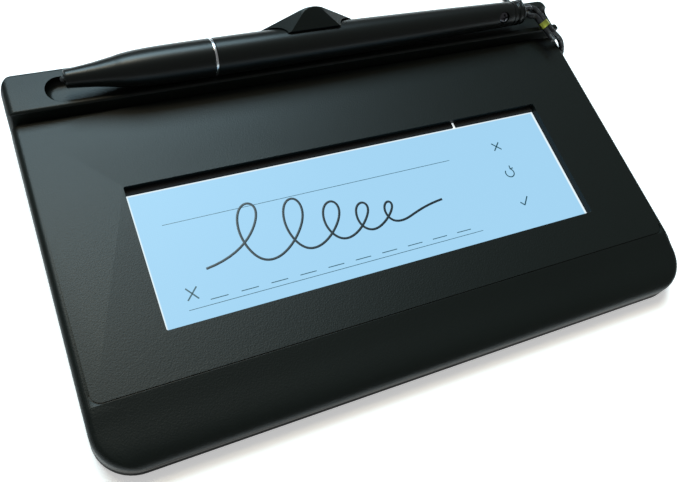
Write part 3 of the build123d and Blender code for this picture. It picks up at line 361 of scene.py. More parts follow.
# %% Press in the nose
CREASE_Y, FRONT_Y = -33.67, -47.3
NOSE_DIP, NOSE_EASE = 0.78, 0.9
SKIN_ABOVE = 5.6
pressed = 0
for vertex in housing[0].data.vertices:
    past_crease = CREASE_Y - vertex.co.y / MM
    forward = past_crease / (CREASE_Y - FRONT_Y)
    if 0.0 < forward < 1.0 and vertex.co.z > SKIN_ABOVE * MM:
        eased = 1.0 - math.exp(-past_crease / NOSE_EASE)
        vertex.co.z -= 4.0 * NOSE_DIP * forward * (1.0 - forward) * eased * MM
        pressed += 1
print("nose vertices pressed", pressed)

# %% [markdown]
# The remaining nodes keep their own meshes and only get finishes. Most of them sit inside the closed housing,
# where nobody looks, but they are still given believable materials. The white frame round the backlight shows
# through one gap in the seal, so its finish gets a painted glow that stands in for the backlight's light on it.

# %% Finishes of the nodes that stay
def plain_finish(name, colour, rough):
    return moulded(name, colour, tuple(c * 1.15 for c in colour), rough, rough * 1.15, 1500.0, 0.004)


nib_grey = plain_finish("nib_plastic", (0.003, 0.003, 0.0035), 0.6)
frame_white = plain_finish("lit_frame", (0.80, 0.82, 0.84), 0.40)
frame_shader = frame_white.node_tree.nodes["Principled BSDF"]
# The emission is painted light: a glow that stands in for the backlight's light on the white frame.
frame_shader.inputs["Emission Color"].default_value = (0.86, 0.94, 0.97, 1.0)
frame_shader.inputs["Emission Strength"].default_value = 0.8
finishes = {
    "black_foam": plain_finish("black_foam", (0.006, 0.006, 0.007), 0.85),
    "display_glass": plain_finish("display_glass", (0.55, 0.70, 0.74), 0.10),
    "light_guide": plain_finish("light_guide", (0.80, 0.86, 0.90), 0.20),
    "capacitor_body": plain_finish("capacitor_body", (0.38, 0.26, 0.14), 0.5),
    "ribbon_film": plain_finish("ribbon_film", (0.45, 0.22, 0.05), 0.3),
    "white_plastic": frame_white,
    "circuit_board": board_green,
    "steel": steel,
    "chip_plastic": chip_black,
    "foot_rubber": rubber_black,
    "ring_metal": ring_metal,
    "nib_plastic": nib_grey,
    "copper_coil": copper,
    "crimp_metal": crimp_metal,
    "tie_plastic": tie_black,
    "case_plastic": case_black,
    "pen_plastic": pen_black,
}
slots = {part["node"]: part["material_slot"] for part in frame["record"]["subparts"]}
for name, item in frame["nodes"].items():
    if slots.get(name) in finishes:
        item.data.materials.clear()
        item.data.materials.append(finishes[slots[name]])
print("nodes finished", sum(1 for s in slots.values() if s in finishes))

# %% [markdown]
# The pen is turned and moulded plastic. Its outline is a set of radii along the axis, so the natural tool is
# a spin: half of the outline is drawn beside the axis and turned once round it. That gives even, round faces
# where the loose triangles of the model show facets.

# %% Spun pen pieces
PEN_Y, PEN_Z = 37.34, 20.868
PEN_NOSE = -62.4


def to_metres(shape):
    bmesh.ops.scale(shape, vec=(MM, MM, MM), verts=shape.verts)


def finished_mesh(shape, name, sharp=32.0):
    # Turns a shape into a piece that is shaded smooth apart from edges sharper than the angle
    bmesh.ops.recalc_face_normals(shape, faces=shape.faces)
    mesh = bpy.data.meshes.new(name)
    shape.to_mesh(mesh)
    shape.free()
    mesh.shade_smooth()
    mesh.set_sharp_from_angle(angle=math.radians(sharp))
    piece = bpy.data.objects.new(name, mesh)
    bpy.context.scene.collection.objects.link(piece)
    return piece


def spun(name, outline, segments=96):
    # The outline is given as distances from the pen's nose and radii, in millimetres
    shape = bmesh.new()
    chain = [shape.verts.new((PEN_NOSE + along, PEN_Y, PEN_Z + radius)) for along, radius in outline]
    edges = [shape.edges.new((a, b)) for a, b in zip(chain, chain[1:])]
    bmesh.ops.spin(
        shape, geom=chain + edges, cent=(0, PEN_Y, PEN_Z), axis=(1, 0, 0), dvec=(0, 0, 0),
        angle=math.tau, steps=segments, use_merge=True, use_normal_flip=False,
    )
    bmesh.ops.remove_doubles(shape, verts=shape.verts, dist=0.001)
    to_metres(shape)
    return finished_mesh(shape, name)


def curve_through(points, steps):
    # A smooth run of radii through a few measured ones, by a Catmull-Rom spline
    padded = [points[0]] + list(points) + [points[-1]]
    run = []
    for p0, p1, p2, p3 in zip(padded, padded[1:], padded[2:], padded[3:]):
        for i in range(steps):
            t = i / steps
            run.append(tuple(
                0.5 * (2 * b + (c - a) * t + (2 * a - 5 * b + 4 * c - d) * t ** 2
                       + (3 * b - a - 3 * c + d) * t ** 3)
                for a, b, c, d in zip(p0, p1, p2, p3)
            ))
    return run + [points[-1]]


grip_nose = [(0.0, 0.78), (0.0, 1.75), (0.12, 2.0)]
grip_side = curve_through([
    (0.4, 2.1), (3.0, 2.33), (6.5, 2.72), (8.8, 3.08), (11.0, 3.45), (13.0, 3.83), (16.5, 4.18), (22.0, 4.40),
    (33.5, 4.5),
], 6)
grip_bore = [(33.68, 4.38), (33.7, 3.1), (38.6, 3.1), (38.6, 2.3), (8.0, 2.3), (8.0, 0.78), (0.0, 0.78)]
grip = spun("pen_grip_shell", grip_nose + grip_side + grip_bore)
link(grip, "pen", pen_black)
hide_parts("pen_grip")

ring = spun("pen_ring_band", [
    (33.72, 3.12), (33.72, 4.42), (33.80, 4.53), (34.05, 4.57), (34.30, 4.53), (34.38, 4.42), (34.38, 3.12),
    (33.72, 3.12),
])
link(ring, "pen", ring_metal)
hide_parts("pen_ring")
print("grip faces", len(grip.data.polygons), "ring faces", len(ring.data.polygons))

# %% [markdown]
# The barrel narrows towards its end in a long shallow curve. Its one interruption is the screw that holds the
# end cap: a round recess with a cross-head screw at the bottom. The recess is cut with a boolean, because a
# round hole across a round barrel is the case a boolean solves cleanly, and the cut is applied to the mesh.

# %% Barrel with its screw recess
barrel_side = curve_through([
    (34.6, 4.5), (55.0, 4.48), (71.0, 4.32), (86.0, 4.07), (99.0, 3.82), (109.0, 3.58), (120.2, 3.32),
], 5)
barrel_bore = [(120.48, 3.2), (120.48, 2.3), (38.75, 2.3), (38.75, 3.15), (34.42, 3.15)]
barrel = spun("pen_barrel_shell", [(34.42, 3.15), (34.42, 4.36)] + barrel_side + barrel_bore)
link(barrel, "pen", pen_black)
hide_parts("pen_barrel")

SCREW_LEAN = math.radians(34.0)
SCREW_AT = Vector((PEN_NOSE + 116.7, PEN_Y, PEN_Z))
SCREW_OUT = Vector((0, -math.cos(SCREW_LEAN), math.sin(SCREW_LEAN)))
screw_turn = Matrix.Translation(SCREW_AT) @ SCREW_OUT.to_track_quat("Z", "Y").to_matrix().to_4x4()


def on_screw(height):
    # A place on the screw's axis, at a height above the pen's axis in millimetres
    return screw_turn @ Matrix.Translation((0, 0, height))


def cut_away(piece, cutter):
    # Subtracts the cutter, applies the result to the mesh and removes the cutter
    tool = piece.modifiers.new("cut", "BOOLEAN")
    tool.operation = "DIFFERENCE"
    tool.solver = "EXACT"
    tool.object = cutter
    shown = bpy.context.evaluated_depsgraph_get()
    mesh = bpy.data.meshes.new_from_object(piece.evaluated_get(shown))
    piece.modifiers.remove(tool)
    piece.data = mesh
    bpy.data.objects.remove(cutter)
    mesh.set_sharp_from_angle(angle=math.radians(32))


RECESS_BOTTOM, RECESS_MOUTH, RECESS_DEPTH, RECESS_LEVEL = 1.6, 1.7, 3.0, 4.15
shape = bmesh.new()
bmesh.ops.create_cone(
    shape, cap_ends=True, segments=48, radius1=RECESS_BOTTOM, radius2=RECESS_MOUTH, depth=RECESS_DEPTH,
    matrix=on_screw(RECESS_LEVEL),
)
to_metres(shape)
cut_away(barrel, finished_mesh(shape, "recess_cutter"))
print("barrel faces", len(barrel.data.polygons))

# %% [markdown]
# The screw's head is a low dome with a cross recess. The dome is a flattened sphere above a disc, and the
# cross is pressed in by a boolean with two slim blocks.

# %% Cross-head screw of the end cap
HEAD_RADIUS, HEAD_FLATNESS, SKIRT_HEIGHT, HEAD_LEVEL = 1.48, 0.35, 0.35, 2.80
CROSS_LENGTH, CROSS_WIDTH, CROSS_DEPTH, CROSS_LEVEL = 1.9, 0.52, 0.9, 3.2
shape = bmesh.new()
dome = Matrix.Diagonal((1, 1, HEAD_FLATNESS, 1))
bmesh.ops.create_uvsphere(shape, u_segments=48, v_segments=24, radius=HEAD_RADIUS, matrix=dome)
everything = shape.verts[:] + shape.edges[:] + shape.faces[:]
bmesh.ops.bisect_plane(shape, geom=everything, plane_co=(0, 0, 0), plane_no=(0, 0, -1), clear_outer=True)
rim = [e for e in shape.edges if e.is_boundary]
skirt = bmesh.ops.extrude_edge_only(shape, edges=rim)["geom"]
skirt_verts = [v for v in skirt if isinstance(v, bmesh.types.BMVert)]
bmesh.ops.translate(shape, vec=(0, 0, -SKIRT_HEIGHT), verts=skirt_verts)
bmesh.ops.contextual_create(shape, geom=[e for e in shape.edges if e.is_boundary])
bmesh.ops.transform(shape, matrix=on_screw(HEAD_LEVEL), verts=shape.verts)
to_metres(shape)
screw_head = finished_mesh(shape, "pen_screw_head")
for wide, deep in ((CROSS_LENGTH, CROSS_WIDTH), (CROSS_WIDTH, CROSS_LENGTH)):
    shape = bmesh.new()
    block = on_screw(CROSS_LEVEL) @ Matrix.Diagonal((wide, deep, CROSS_DEPTH, 1))
    bmesh.ops.create_cube(shape, size=1.0, matrix=block)
    to_metres(shape)
    cut_away(screw_head, finished_mesh(shape, "cross_cutter"))
link(screw_head, "pen", screw_steel)
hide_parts("pen_screw")
print("screw faces", len(screw_head.data.polygons))

# %% [markdown]
# The end cap shows two grooves between three ridges, and a rounded end from which the eyelet of the cord
# stands out. Grooves in a turned piece are simply more points of its outline. The nib is a slim pin with a
# collar, which the spring pushes on.

# %% End cap and nib
cap_outline = [
    (108.5, 0.0), (108.5, 2.2), (120.52, 2.2), (120.52, 3.2), (120.62, 3.32), (121.2, 3.34), (121.32, 3.28),
    (121.4, 3.1), (121.5, 3.04), (122.0, 3.04), (122.1, 3.1), (122.18, 3.28), (122.3, 3.34), (122.85, 3.34),
    (122.97, 3.28), (123.05, 3.1), (123.15, 3.04), (123.6, 3.04), (123.7, 3.1), (123.78, 3.24), (123.9, 3.28),
    (124.1, 3.2), (124.3, 3.02), (124.45, 2.75), (124.55, 2.3), (124.6, 1.6), (124.6, 0.0),
]
cap = spun("pen_cap_end", cap_outline)
link(cap, "pen", pen_black)
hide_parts("pen_end_cap")
tip = spun("pen_nib_tip", [
    (-0.9, 0.0), (-0.87, 0.2), (-0.76, 0.42), (-0.55, 0.6), (-0.3, 0.69), (0.0, 0.7), (8.05, 0.7),
    (8.05, 1.5), (9.25, 1.5), (9.25, 0.7), (25.0, 0.7), (25.1, 0.0),
], 48)
link(tip, "nib", nib_grey)
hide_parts("pen_nib")
print("cap faces", len(cap.data.polygons), "nib faces", len(tip.data.polygons))

# %% [markdown]
# Inside the grip a small spring pushes the nib out again. Wire wound round a core is what the spin tool
# draws: a small circle is turned round the pen's axis and moved a little along it at every step. When the nib
# is pressed, the spring can only get shorter; here it is built at rest and gets a mesh of its own.

# %% Spring of the nib
SPRING_START, SPRING_END, SPRING_TURNS = 9.46, 13.59, 6
SPRING_RADIUS, WIRE_RADIUS = 1.15, 0.18
SPRING_STEPS = SPRING_TURNS * 24
shape = bmesh.new()
wire_start = Matrix.Translation((PEN_NOSE + SPRING_START, PEN_Y, PEN_Z + SPRING_RADIUS))
wire_section = wire_start @ Matrix.Rotation(math.radians(90), 4, "X")
bmesh.ops.create_circle(shape, cap_ends=True, segments=8, radius=WIRE_RADIUS, matrix=wire_section)
bmesh.ops.spin(
    shape, geom=shape.faces[:] + shape.edges[:] + shape.verts[:], cent=(0, PEN_Y, PEN_Z), axis=(1, 0, 0),
    dvec=((SPRING_END - SPRING_START) / SPRING_STEPS, 0, 0), angle=math.tau * SPRING_TURNS,
    steps=SPRING_STEPS, use_merge=False,
)
to_metres(shape)
spring = finished_mesh(shape, "nib_spring_wire", 50.0)
link(spring, "pen", steel)
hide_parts("nib_spring")
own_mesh(spring)
reach = [v.co.x / MM - PEN_NOSE for v in spring.data.vertices]
print("spring faces", len(spring.data.polygons), "from", round(min(reach), 2), "to", round(max(reach), 2))

# %% [markdown]
# The window is the part that everyone looks at. Behind its touch sheet a pale blue backlight shines evenly,
# and a closer look finds the grid of liquid-crystal cells and a bright line round the edge. A material that
# gives light does this: the colour is written as emission, and the sheet's gloss lies over it.

# %% Lit window
LIT_ALONG_MIDDLE = -4.2
LIT_HALF_WIDTH = 56.0
LIT_HALF_HEIGHT = 16.7
CELLS_PER_METRE = 2100.0


def lit_material():
    material, tree, shader = fresh_material("lit_window")
    shader.inputs["Base Color"].default_value = (0.02, 0.03, 0.035, 1.0)
    shader.inputs["Roughness"].default_value = 0.35
    shader.inputs["Specular IOR Level"].default_value = 0.1
    shader.inputs["Emission Strength"].default_value = 1.0
    place = node(tree, "TexCoord")
    centred = node(tree, "Mapping", vector_type="TEXTURE")
    centred.inputs["Location"].default_value = deck_place(0, LIT_ALONG_MIDDLE, GLASS_LEVEL)
    centred.inputs["Rotation"].default_value = (SLOPE, 0, 0)
    tree.links.new(place.outputs["Object"], centred.inputs["Vector"])
    split = node(tree, "SeparateXYZ")
    tree.links.new(centred.outputs["Vector"], split.inputs["Vector"])
    edges = []
    for axis, half in ((0, LIT_HALF_WIDTH), (1, LIT_HALF_HEIGHT)):
        away = node(tree, "Math", operation="ABSOLUTE")
        tree.links.new(split.outputs[axis], away.inputs[0])
        edges.append(ramped(tree, away.outputs[0], From_Min=(half - 0.45) * MM, From_Max=(half - 0.15) * MM))
    rim = combined(tree, "MAXIMUM", *edges)
    cells = node(tree, "TexVoronoi", distance="CHEBYCHEV")
    cells.inputs["Scale"].default_value = CELLS_PER_METRE
    cells.inputs["Randomness"].default_value = 0.0
    tree.links.new(centred.outputs["Vector"], cells.inputs["Vector"])
    gaps = ramped(tree, cells.outputs["Distance"], From_Min=0.38, From_Max=0.5, To_Max=0.06)
    drift = node(tree, "TexNoise")
    drift.inputs["Scale"].default_value = 9.0
    tree.links.new(place.outputs["Object"], drift.inputs["Vector"])
    backlight = mixed(tree, drift.outputs["Fac"], (0.340, 0.615, 0.845), (0.362, 0.645, 0.865))
    with_cells = mixed(tree, gaps, backlight, (0.20, 0.42, 0.62))
    with_rim = mixed(tree, rim, with_cells, (0.80, 0.92, 0.97))
    tree.links.new(with_rim, shader.inputs["Emission Color"])
    return material


dress("display_window", "window_sheet", "case", lit_material(), bevel=0.0)

# %% [markdown]
# The display shows where to sign: a thin rule above and below, a row of dashes with a cross at its left, and
# three soft keys at the right. The keys carry plain signs: a cross to cancel, a turning arrow to clear and a
# tick when done. Dark liquid-crystal cells lie in the window's surface, so every mark is a very thin tile.

# %% Marks of the display
MARK_RISE = 0.012
RULE_WIDTH, SIGN_WIDTH = 0.14, 0.34
DASH_START, DASH_STEP, DASH_LENGTH = -45.2, 7.0, 4.0


def mark_finish(name, colour):
    return moulded(name, colour, tuple(c * 1.3 for c in colour), 0.35, 0.3, 2000.0, 0.001, 90.0, 0.3)


lcd_dark = mark_finish("lcd_dark", (0.012, 0.055, 0.075))
ink_dark = mark_finish("ink_dark", (0.006, 0.012, 0.016))


def stroke(shape, start, end, wide):
    # A thin tile from one place on the window to another, in millimetres of the deck
    start, end = Vector(start), Vector(end)
    way = end - start
    middle = (start + end) / 2
    turned = Matrix.Rotation(math.atan2(way.y, way.x), 4, "Z")
    size = Matrix.Diagonal((way.length + wide * 0.2, wide, MARK_RISE, 1))
    tile = Matrix.Translation((middle.x, middle.y, MARK_RISE / 2)) @ turned @ size
    bmesh.ops.create_cube(shape, size=1.0, matrix=tile)


def arc_strokes(shape, centre, radius, first, last, wide, steps):
    turns = [math.radians(first + (last - first) * i / steps) for i in range(steps + 1)]
    spots = [(centre[0] + radius * math.cos(a), centre[1] + radius * math.sin(a)) for a in turns]
    for start, end in zip(spots, spots[1:]):
        stroke(shape, start, end, wide)


def onto_window(shape):
    window = Matrix.Translation(deck_place(0, 0, GLASS_LEVEL)) @ Matrix.Rotation(SLOPE, 4, "X")
    bmesh.ops.transform(shape, matrix=window @ Matrix.Diagonal((MM, MM, MM, 1)), verts=shape.verts)


shape = bmesh.new()
for along in (3.6, -17.3):
    stroke(shape, (-50.3, along), (24.9, along), RULE_WIDTH)
for dash in range(10):
    left = DASH_START + DASH_STEP * dash
    stroke(shape, (left, -16.1), (left + DASH_LENGTH, -16.1), 0.20)
stroke(shape, (-49.9, -15.1), (-47.3, -12.4), SIGN_WIDTH)
stroke(shape, (-49.7, -12.3), (-47.5, -15.2), SIGN_WIDTH)
onto_window(shape)
rules = finished_mesh(shape, "display_rules")
link(rules, "case", lcd_dark)
print("ruled marks", len(rules.data.polygons))

# %% [markdown]
# The three signs are built from the same tiles. An arc is a row of short ones, end to end.

# %% Signs of the three soft keys
shape = bmesh.new()
stroke(shape, (39.1, 3.4), (41.3, 5.6), SIGN_WIDTH)
stroke(shape, (39.1, 5.6), (41.3, 3.4), SIGN_WIDTH)
arc_strokes(shape, (40.2, -3.8), 1.25, -220, 60, 0.30, 18)
stroke(shape, (40.85, -2.72), (41.75, -2.62), 0.30)
stroke(shape, (40.85, -2.72), (41.0, -1.75), 0.30)
stroke(shape, (38.9, -12.6), (39.8, -13.6), SIGN_WIDTH)
stroke(shape, (39.8, -13.6), (41.6, -11.4), SIGN_WIDTH)
onto_window(shape)
keys = finished_mesh(shape, "soft_key_signs")
link(keys, "case", lcd_dark)
print("key signs", len(keys.data.polygons))

# %% [markdown]
# Across the window runs a pen stroke: a loose flourish of loops that reads as ink and spells nothing. It is a
# smooth curve of a few control points with a small round bevel, turned into a mesh and pressed flat against
# the window.

# %% Ink flourish
def nurbs_curve(points, order, resolution):
    # A smooth curve that starts at the first point, ends at the last and bends towards the rest
    curve = bpy.data.curves.new("draft", "CURVE")
    curve.dimensions = "3D"
    spline = curve.splines.new("NURBS")
    spline.points.add(len(points) - 1)
    for point, place in zip(spline.points, points):
        point.co = (*place, 1)
    spline.order_u = order
    spline.use_endpoint_u = True
    spline.resolution_u = resolution
    return curve


def mesh_of(curve):
    holder = bpy.data.objects.new("draft", curve)
    bpy.context.scene.collection.objects.link(holder)
    bpy.context.view_layer.update()
    shown = bpy.context.evaluated_depsgraph_get()
    mesh = bpy.data.meshes.new_from_object(holder.evaluated_get(shown))
    bpy.data.objects.remove(holder)
    return mesh


INK_RADIUS, INK_FLATNESS = 0.30, 0.05
flourish = [
    (-44.0, -9.0), (-36.0, -8.0), (-28.0, 0.0), (-29.0, 5.0), (-33.0, 4.0), (-35.0, -3.0), (-32.0, -11.5),
    (-25.0, -10.5), (-17.5, -2.5), (-18.0, 3.5), (-22.0, 3.0), (-24.0, -4.0), (-21.0, -11.5), (-14.5, -10.0),
    (-8.5, -3.5), (-9.5, 0.6), (-13.0, -0.4), (-14.5, -6.0), (-11.5, -11.2), (-6.0, -9.4), (-1.2, -4.2),
    (-2.6, -1.6), (-5.4, -3.0), (-6.0, -8.0), (-2.8, -10.6), (2.0, -8.0), (5.0, -4.6), (3.6, -3.0),
    (1.6, -5.0), (2.2, -9.0), (6.4, -9.8), (12.0, -7.0), (18.0, -6.4),
]
pen_line = nurbs_curve([(across, along, 0) for across, along in flourish], 4, 10)
pen_line.bevel_depth = INK_RADIUS
pen_line.bevel_resolution = 2
pen_line.use_fill_caps = True
shape = bmesh.new()
shape.from_mesh(mesh_of(pen_line))
bmesh.ops.scale(shape, vec=(1, 1, INK_FLATNESS), verts=shape.verts)
bmesh.ops.translate(shape, vec=(0, 0, MARK_RISE), verts=shape.verts)
onto_window(shape)
ink = finished_mesh(shape, "ink_flourish")
link(ink, "case", ink_dark)
print("ink faces", len(ink.data.polygons))

# %% [markdown]
# A cord hangs or lies under its own weight, and its real length is fixed. The first points leave the housing
# at the anchor, drop to the table, go through a small hank held by a tie, run forward along the right side
# and rise to the pen. A NURBS spline through so few control points bends as smoothly as the cord does.

# %% Route of the tether
CORD_DIAMETER = 1.6
tether_points = [
    (58.0, 44.8, 8.5), (58.0, 51.0, 8.5), (61.0, 54.5, 3.0), (70.0, 51.6, 0.95), (78.5, 52.0, 0.95),
    (80.4, 59.0, 0.95), (78.5, 66.5, 0.95), (71.5, 68.0, 0.95), (62.0, 69.34, 3.3), (47.5, 72.16, 3.95),
    (36.0, 74.4, 3.95), (18.0, 70.9, 3.95), (18.0, 89.1, 3.95), (36.0, 85.6, 3.95), (54.0, 89.1, 3.95),
    (54.0, 73.3, 3.95), (36.0, 76.8, 3.95), (20.4, 73.3, 3.95), (20.4, 86.7, 3.95), (36.0, 83.2, 2.75),
    (54.0, 86.7, 1.55), (54.0, 70.9, 1.55), (36.0, 74.4, 1.55), (18.0, 70.9, 1.55), (18.0, 89.1, 1.55),
    (36.0, 85.6, 1.55), (54.0, 89.1, 1.55), (65.0, 91.24, 1.55), (82.0, 88.0, 1.2), (90.0, 78.0, 0.95),
    (87.5, 68.0, 0.95), (84.0, 58.0, 0.95), (82.6, 46.0, 0.95), (80.6, 38.0, 0.95), (78.6, 32.0, 0.95),
    (77.2, 27.6, 3.2), (77.1, 27.6, 8.4), (77.1, 28.4, 11.6), (75.6, 29.9, 15.0), (72.8, 30.7, 17.1),
    (70.9, 31.2, 18.45), (69.95, 32.91, 19.0),
]


def nurbs_line(points, resolution):
    # The points of a smooth curve, in metres, from control points in millimetres
    mesh = mesh_of(nurbs_curve([(x * MM, y * MM, z * MM) for x, y, z in points], 3, resolution))
    path = [v.co.copy() for v in mesh.vertices]
    bpy.data.meshes.remove(mesh)
    return path


tether_path = nurbs_line(tether_points, 14)

# %% [markdown]
# The cord is braided. Its surface is a tube swept along the path, and a UV map on it, along and around,
# carries the braid: two sets of strands that cross each other as a bump, and as a colour that is darker where
# the braid is low: painted shade in the gaps between the strands.

# %% Braided tube
def swept_tube(name, path, radius, sides=20):
    # A ring of vertices is carried along the path with as little twist as possible
    shape = bmesh.new()
    layer = shape.loops.layers.uv.new("braid")
    way = (path[1] - path[0]).normalized()
    side = way.cross(Vector((0, 0, 1)))
    if side.length < 0.1:
        side = way.cross(Vector((1, 0, 0)))
    side.normalize()
    rings, marks, travelled = [], [], 0.0
    for index, place in enumerate(path):
        before = path[max(index - 1, 0)]
        after = path[min(index + 1, len(path) - 1)]
        new_way = (after - before).normalized()
        side = (side - new_way * side.dot(new_way)).normalized()
        up = new_way.cross(side)
        if index:
            travelled += (place - path[index - 1]).length
        angles = [math.tau * k / sides for k in range(sides)]
        spokes = [side * math.cos(a) + up * math.sin(a) for a in angles]
        rings.append([shape.verts.new(place + spoke * radius) for spoke in spokes])
        marks.append(travelled)
    for index in range(len(rings) - 1):
        low, high = rings[index], rings[index + 1]
        for k in range(sides):
            following = (k + 1) % sides
            face = shape.faces.new((low[k], high[k], high[following], low[following]))
            near, far = marks[index], marks[index + 1]
            for loop, (along, around) in zip(face.loops, ((near, k), (far, k), (far, k + 1), (near, k + 1))):
                loop[layer].uv = (along / (math.tau * radius), around / sides)
    for ring in (rings[0], rings[-1]):
        shape.faces.new(ring)
    return finished_mesh(shape, name, 60.0)


BRAID_LEAN = math.radians(45.0)
BRAID_SCALE = math.sqrt(32.0)


def braid_material():
    material, tree, shader = fresh_material("cord")
    shader.inputs["Sheen Weight"].default_value = 0.05
    shader.inputs["Specular IOR Level"].default_value = 0.45
    around = node(tree, "UVMap", uv_map="braid")
    strands = []
    for lean in (BRAID_LEAN, -BRAID_LEAN):
        turned = node(tree, "Mapping")
        turned.inputs["Rotation"].default_value = (0, 0, lean)
        turned.inputs["Scale"].default_value = (BRAID_SCALE, BRAID_SCALE, 1)
        tree.links.new(around.outputs["UV"], turned.inputs["Vector"])
        wave = node(tree, "TexWave", wave_type="BANDS", bands_direction="X")
        wave.inputs["Scale"].default_value = 0.159
        tree.links.new(turned.outputs["Vector"], wave.inputs["Vector"])
        strands.append(wave.outputs["Fac"])
    braid = combined(tree, "MULTIPLY", *strands)
    # The colour is darker where the braid is low: painted shade in the gaps between the strands.
    tint = mixed(tree, braid, (0.003, 0.003, 0.004), (0.014, 0.014, 0.016))
    tree.links.new(tint, shader.inputs["Base Color"])
    tree.links.new(ramped(tree, braid, To_Min=0.5, To_Max=0.28), shader.inputs["Roughness"])
    add_bump(tree, shader, braid, 0.6, 0.12)
    return material


cord_black = braid_material()
tether = swept_tube("tether", tether_path, CORD_DIAMETER / 2 * MM)
print("tether faces", len(tether.data.polygons))

# %% [markdown]
# At the pen the cord goes through the eyelet as a tight loop, and a crimped metal sleeve holds it; a short
# tail stands out behind the sleeve. Loop and tail are strands of their own, because they move with the pen.
# The long strand belongs to neither body; it keeps the shape it was swept to, from where it leaves the table
# to where it rises beside the deck.

# %% Loop and tail at the pen
loop_path = nurbs_line([
    (68.24, 33.04, 19.26), (67.60, 34.40, 19.70), (66.80, 35.80, 20.30), (64.10, 35.44, 20.87),
    (64.10, 39.24, 20.87), (67.60, 38.50, 20.50), (68.90, 36.10, 20.00), (69.73, 33.74, 19.26),
], 10)
tail_path = nurbs_line([
    (68.46, 32.56, 19.11), (69.05, 31.30, 18.70), (69.58, 30.12, 18.32), (69.75, 27.90, 18.10),
], 10)
CRIMP_LENGTH, CRIMP_ACROSS, CRIMP_HEIGHT, CRIMP_WALL, CRIMP_PINCH = 1.7, 1.80, 1.10, 0.16, 0.05
CRIMP_FROM_LOOP = 1.48
crimp_way = Vector((0.407, -0.868, -0.281)).normalized()
crimp_side = crimp_way.cross(Vector((0, 0, 1))).normalized()
crimp_rise = crimp_side.cross(crimp_way)
crimp_turn = Matrix((crimp_side, crimp_rise, crimp_way)).transposed().to_4x4()
crimp_middle = Vector((68.50, 34.43, 19.60)) + crimp_way * CRIMP_FROM_LOOP
shape = bmesh.new()
bmesh.ops.create_cone(shape, cap_ends=False, segments=48, radius1=1.0, radius2=1.0, depth=CRIMP_LENGTH)
lengthwise = [e for e in shape.edges if abs(e.verts[0].co.z - e.verts[1].co.z) > 1]
bmesh.ops.subdivide_edges(shape, edges=lengthwise, cuts=3)
for vertex in shape.verts:
    pinch = 1.0 - CRIMP_PINCH * (1.0 - (vertex.co.z / (CRIMP_LENGTH / 2)) ** 2)
    vertex.co.x *= CRIMP_ACROSS * pinch
    vertex.co.y *= CRIMP_HEIGHT * pinch
bmesh.ops.recalc_face_normals(shape, faces=shape.faces)
bmesh.ops.solidify(shape, geom=shape.faces[:], thickness=CRIMP_WALL)
bmesh.ops.transform(shape, matrix=Matrix.Translation(crimp_middle) @ crimp_turn, verts=shape.verts)
to_metres(shape)
crimp_band = finished_mesh(shape, "crimp_band", 40.0)
link(crimp_band, "pen", crimp_metal)
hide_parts("tether_crimp")
cord_loop = swept_tube("cord_loop", loop_path, CORD_DIAMETER / 2 * MM)
cord_tail = swept_tube("cord_tail", tail_path, CORD_DIAMETER / 2 * MM)
for strand, node_name in ((cord_loop, "tether_loop"), (cord_tail, "tether_tail")):
    link(strand, "pen", cord_black)
    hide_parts(node_name)
tether.data.materials.append(cord_black)
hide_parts("tether_lead", "tether_run", "tether_hank", "tether_end")
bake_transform(tether)
print("crimp faces", len(crimp_band.data.polygons), "loop", len(loop_path), "tail", len(tail_path), "points")

# %% [markdown]
# The floor is a plain white sheet, much larger than the pad. Straight from the camera and in reflections it
# glows a little, so that it stays white there, and it still takes the pad's shadow.

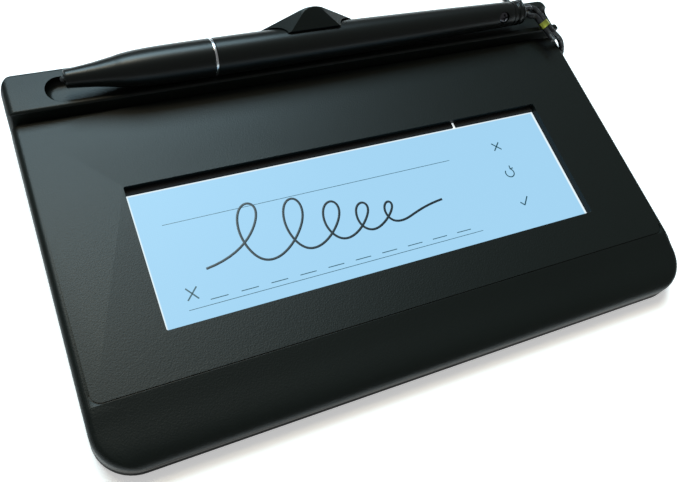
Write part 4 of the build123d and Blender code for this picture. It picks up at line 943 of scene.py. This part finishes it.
# %% Floor
FLOOR_GLOW = 0.42
shape = bmesh.new()
bmesh.ops.create_grid(shape, x_segments=8, y_segments=8, size=3.0)
floor = finished_mesh(shape, "floor")
floor_white, tree, shader = fresh_material("floor_white")
shader.inputs["Roughness"].default_value = 0.9
shader.inputs["Specular IOR Level"].default_value = 0.0
place = node(tree, "TexCoord")
patches = node(tree, "TexNoise")
patches.inputs["Scale"].default_value = 3.0
tree.links.new(place.outputs["Object"], patches.inputs["Vector"])
tint = mixed(tree, patches.outputs["Fac"], (0.93, 0.93, 0.93), (0.95, 0.95, 0.95))
tree.links.new(tint, shader.inputs["Base Color"])
seen = node(tree, "LightPath")
direct = combined(tree, "MAXIMUM", seen.outputs["Is Camera Ray"], seen.outputs["Is Glossy Ray"])
straight = combined(tree, "MAXIMUM", direct, seen.outputs["Is Transmission Ray"])
glow = node(tree, "Math", operation="MULTIPLY")
glow.inputs[1].default_value = FLOOR_GLOW
tree.links.new(straight, glow.inputs[0])
shader.inputs["Emission Color"].default_value = (1, 1, 1, 1)
tree.links.new(glow.outputs[0], shader.inputs["Emission Strength"])
floor.data.materials.append(floor_white)
print("floor laid")

# %% [markdown]
# The light is that of a small studio: a broad, cool lamp behind the pad puts a sheen on the deck, strongest
# at its left and rear, a weaker and warmer one above its left side evens it, and the surroundings give a low
# even light.

# %% Lights and surroundings
def soft_lamp(name, place, aim, wide, high, watts, colour):
    data = bpy.data.lights.new(name, "AREA")
    data.shape = "RECTANGLE"
    data.size = wide
    data.size_y = high
    data.energy = watts
    data.color = colour
    lamp = bpy.data.objects.new(name, data)
    bpy.context.scene.collection.objects.link(lamp)
    way = Vector(aim) - Vector(place)
    lamp.matrix_world = Matrix.Translation(place) @ way.to_track_quat("-Z", "Y").to_matrix().to_4x4()


soft_lamp("sky_lamp", (-0.02, 0.68, 1.08), (-0.02, 0.0, 0), 0.80, 0.50, 19.0, (0.60, 0.87, 1.0))
soft_lamp("window_lamp", (-0.14, 0.36, 1.25), (0, 0, 0), 0.40, 0.30, 5.0, (1.0, 0.90, 0.66))
world = bpy.data.worlds.new("studio")
bpy.context.scene.world = world
world.use_nodes = True
surround = world.node_tree.nodes["Background"]
surround.inputs["Color"].default_value = (1, 1, 1, 1)
surround.inputs["Strength"].default_value = 0.20
bpy.context.scene.view_settings.view_transform = "Standard"

# %% [markdown]
# At the end the view layer is brought up to date.

# %% Finish
bpy.context.view_layer.update()
